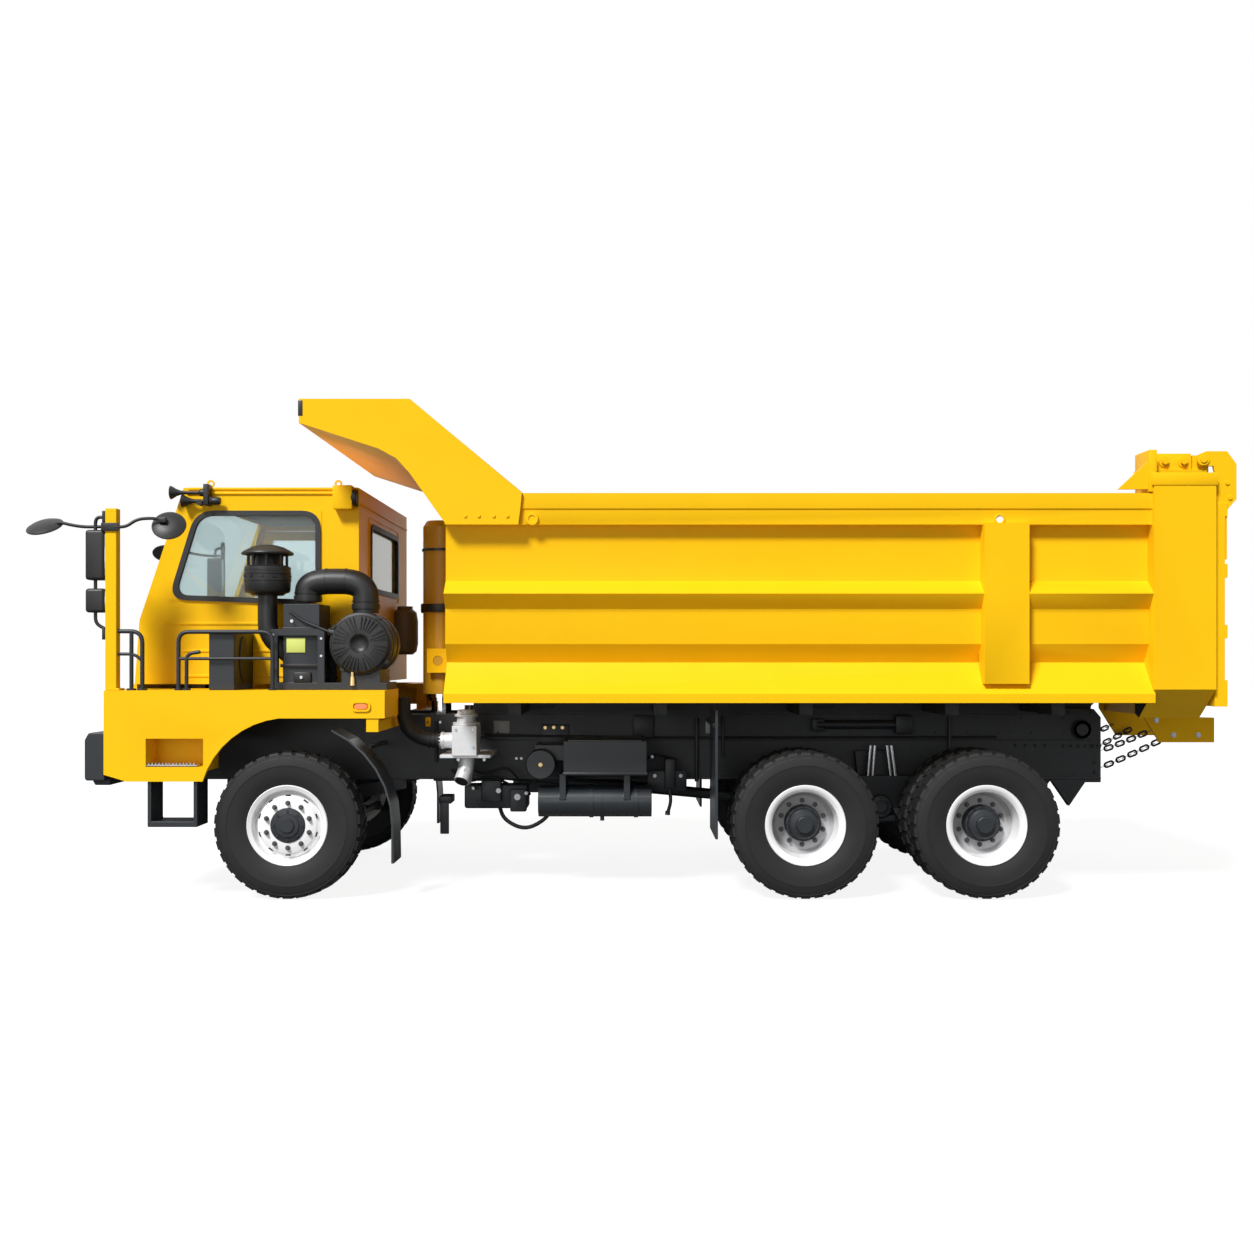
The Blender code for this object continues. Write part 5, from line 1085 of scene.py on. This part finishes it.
# Frame. Two deep channel rails with riveted liners, cross members and tail plates,
# in satin charcoal, with rows of bolt heads along them.
rounded("chassis_frame", CHARCOAL, "chassis", 0.004, 1)
bm = bmesh.new()
for i in range(62):
    x = -1.66 + 0.087 * i
    if i % 3 != 2:
        bolt(bm, (x, -0.430, 1.195), 0.009, 0.008)
        bolt(bm, (x, 0.430, 1.195), 0.009, 0.008, 1)
    if i % 5 in (0, 1):
        bolt(bm, (x, -0.430, 0.850), 0.009, 0.008)
        bolt(bm, (x, 0.430, 0.850), 0.009, 0.008, 1)
    if i % 4 == 0:
        bolt(bm, (x, -0.430, 1.310), 0.009, 0.008)
        bolt(bm, (x, 0.430, 1.310), 0.009, 0.008, 1)
for hand in (-1, 1):
    turned(bm, [(0.0, 0.02), (0.045, 0.02), (0.052, 0.012), (0.076, 0.012), (0.080, 0.0),
                (0.080, -0.02), (0.0, -0.02)], (3.696, hand * 0.448, 1.221), steps=36,
           hand=hand)
    for x in (3.56, 3.62, 3.68, 3.74, 3.80, 3.84):
        bolt(bm, (x, hand * 0.446, 1.085), 0.011, 0.010, hand)
    for x, z in ((3.42, 1.36), (3.60, 1.36), (3.78, 1.36), (3.81, 0.95), (3.81, 0.87),
                 (3.10, 0.98), (3.25, 1.09), (3.33, 1.09), (3.41, 1.09), (3.17, 1.09)):
        bolt(bm, (x, hand * 0.440, z), 0.011, 0.010, hand)
    soft_block(bm, -1.60, 3.857, hand * 0.428, hand * 0.437, 1.128, 1.142, 0.003)
    soft_block(bm, -1.60, 3.857, hand * 0.428, hand * 0.437, 0.815, 0.835, 0.003)
piece("rail_bolts", bm, CHARCOAL, "chassis")

# Axles and springs. Cast casings on a bogie of leaf springs, held by long U-bolts
# and bright torque rods, with pots, levers and drums at the wheels.
for node in ("front_axle", "bogie_springs", "mid_axle", "rear_axle", "powertrain",
             "left_knuckle", "right_knuckle", "tie_rod"):
    dress(node, CHARCOAL)
bm = bmesh.new()
for hand in (-1, 1):
    for low_x, high_x in ((1.915, 1.955), (1.955, 1.99), (2.13, 2.085), (2.17, 2.12)):
        drum(bm, (low_x, hand * 0.60, 0.70), (high_x, hand * 0.58, 1.10), 0.0145, segments=14)
        drum(bm, (low_x, hand * 0.60, 0.70), (low_x, hand * 0.60, 0.725), 0.024, segments=6)
piece("u_bolts", bm, STEEL, "chassis")
bm = bmesh.new()
for hand in (-1, 1):
    turned(bm, [(0.0, 0.03), (0.045, 0.03), (0.052, 0.02), (0.085, 0.015), (0.095, 0.0),
                (0.095, -0.03), (0.0, -0.03)], (2.02, hand * 0.665, 0.62), steps=32, hand=hand)
    for i in range(8):
        angle = 2 * math.pi * i / 8
        bolt(bm, (2.02 + 0.07 * math.cos(angle), hand * 0.68, 0.62 + 0.07 * math.sin(angle)),
             0.009, 0.009, hand)
    soft_block(bm, 1.90, 2.14, hand * 0.50, hand * 0.665, 0.50, 0.55, 0.01)
piece("trunnion_caps", bm, CHARCOAL, "chassis")

# Mudguards, flaps and tanks. Rolled sheet behind the front wheels, rubber flaps
# ahead of the bogie, and folded steel tanks on the right rail.
for side in ("left", "right"):
    rounded(side + "_mudguard", SATIN, "chassis", 0.003, 1)
    rounded(side + "_mudflap", SATIN, "chassis", 0.006)
rounded("fuel_tank", SATIN, "chassis", 0.010, 3)
rounded("hydraulic_tank", SATIN, "chassis", 0.010, 3)
bm = bmesh.new()
for x in (-0.70, 0.20):
    soft_block(bm, x, x + 0.05, 0.44, 1.108, 0.612, 0.622, 0.003)
    soft_block(bm, x, x + 0.05, 1.096, 1.108, 0.612, 1.238, 0.003)
    soft_block(bm, x, x + 0.05, 0.44, 1.108, 1.228, 1.238, 0.003)
drum(bm, (-0.30, 0.95, 1.22), (-0.30, 0.95, 1.275), 0.055, segments=28)
drum(bm, (-1.42, 0.80, 1.33), (-1.42, 0.80, 1.375), 0.050, segments=28)
piece("fuel_tank_straps", bm, STEEL, "chassis")
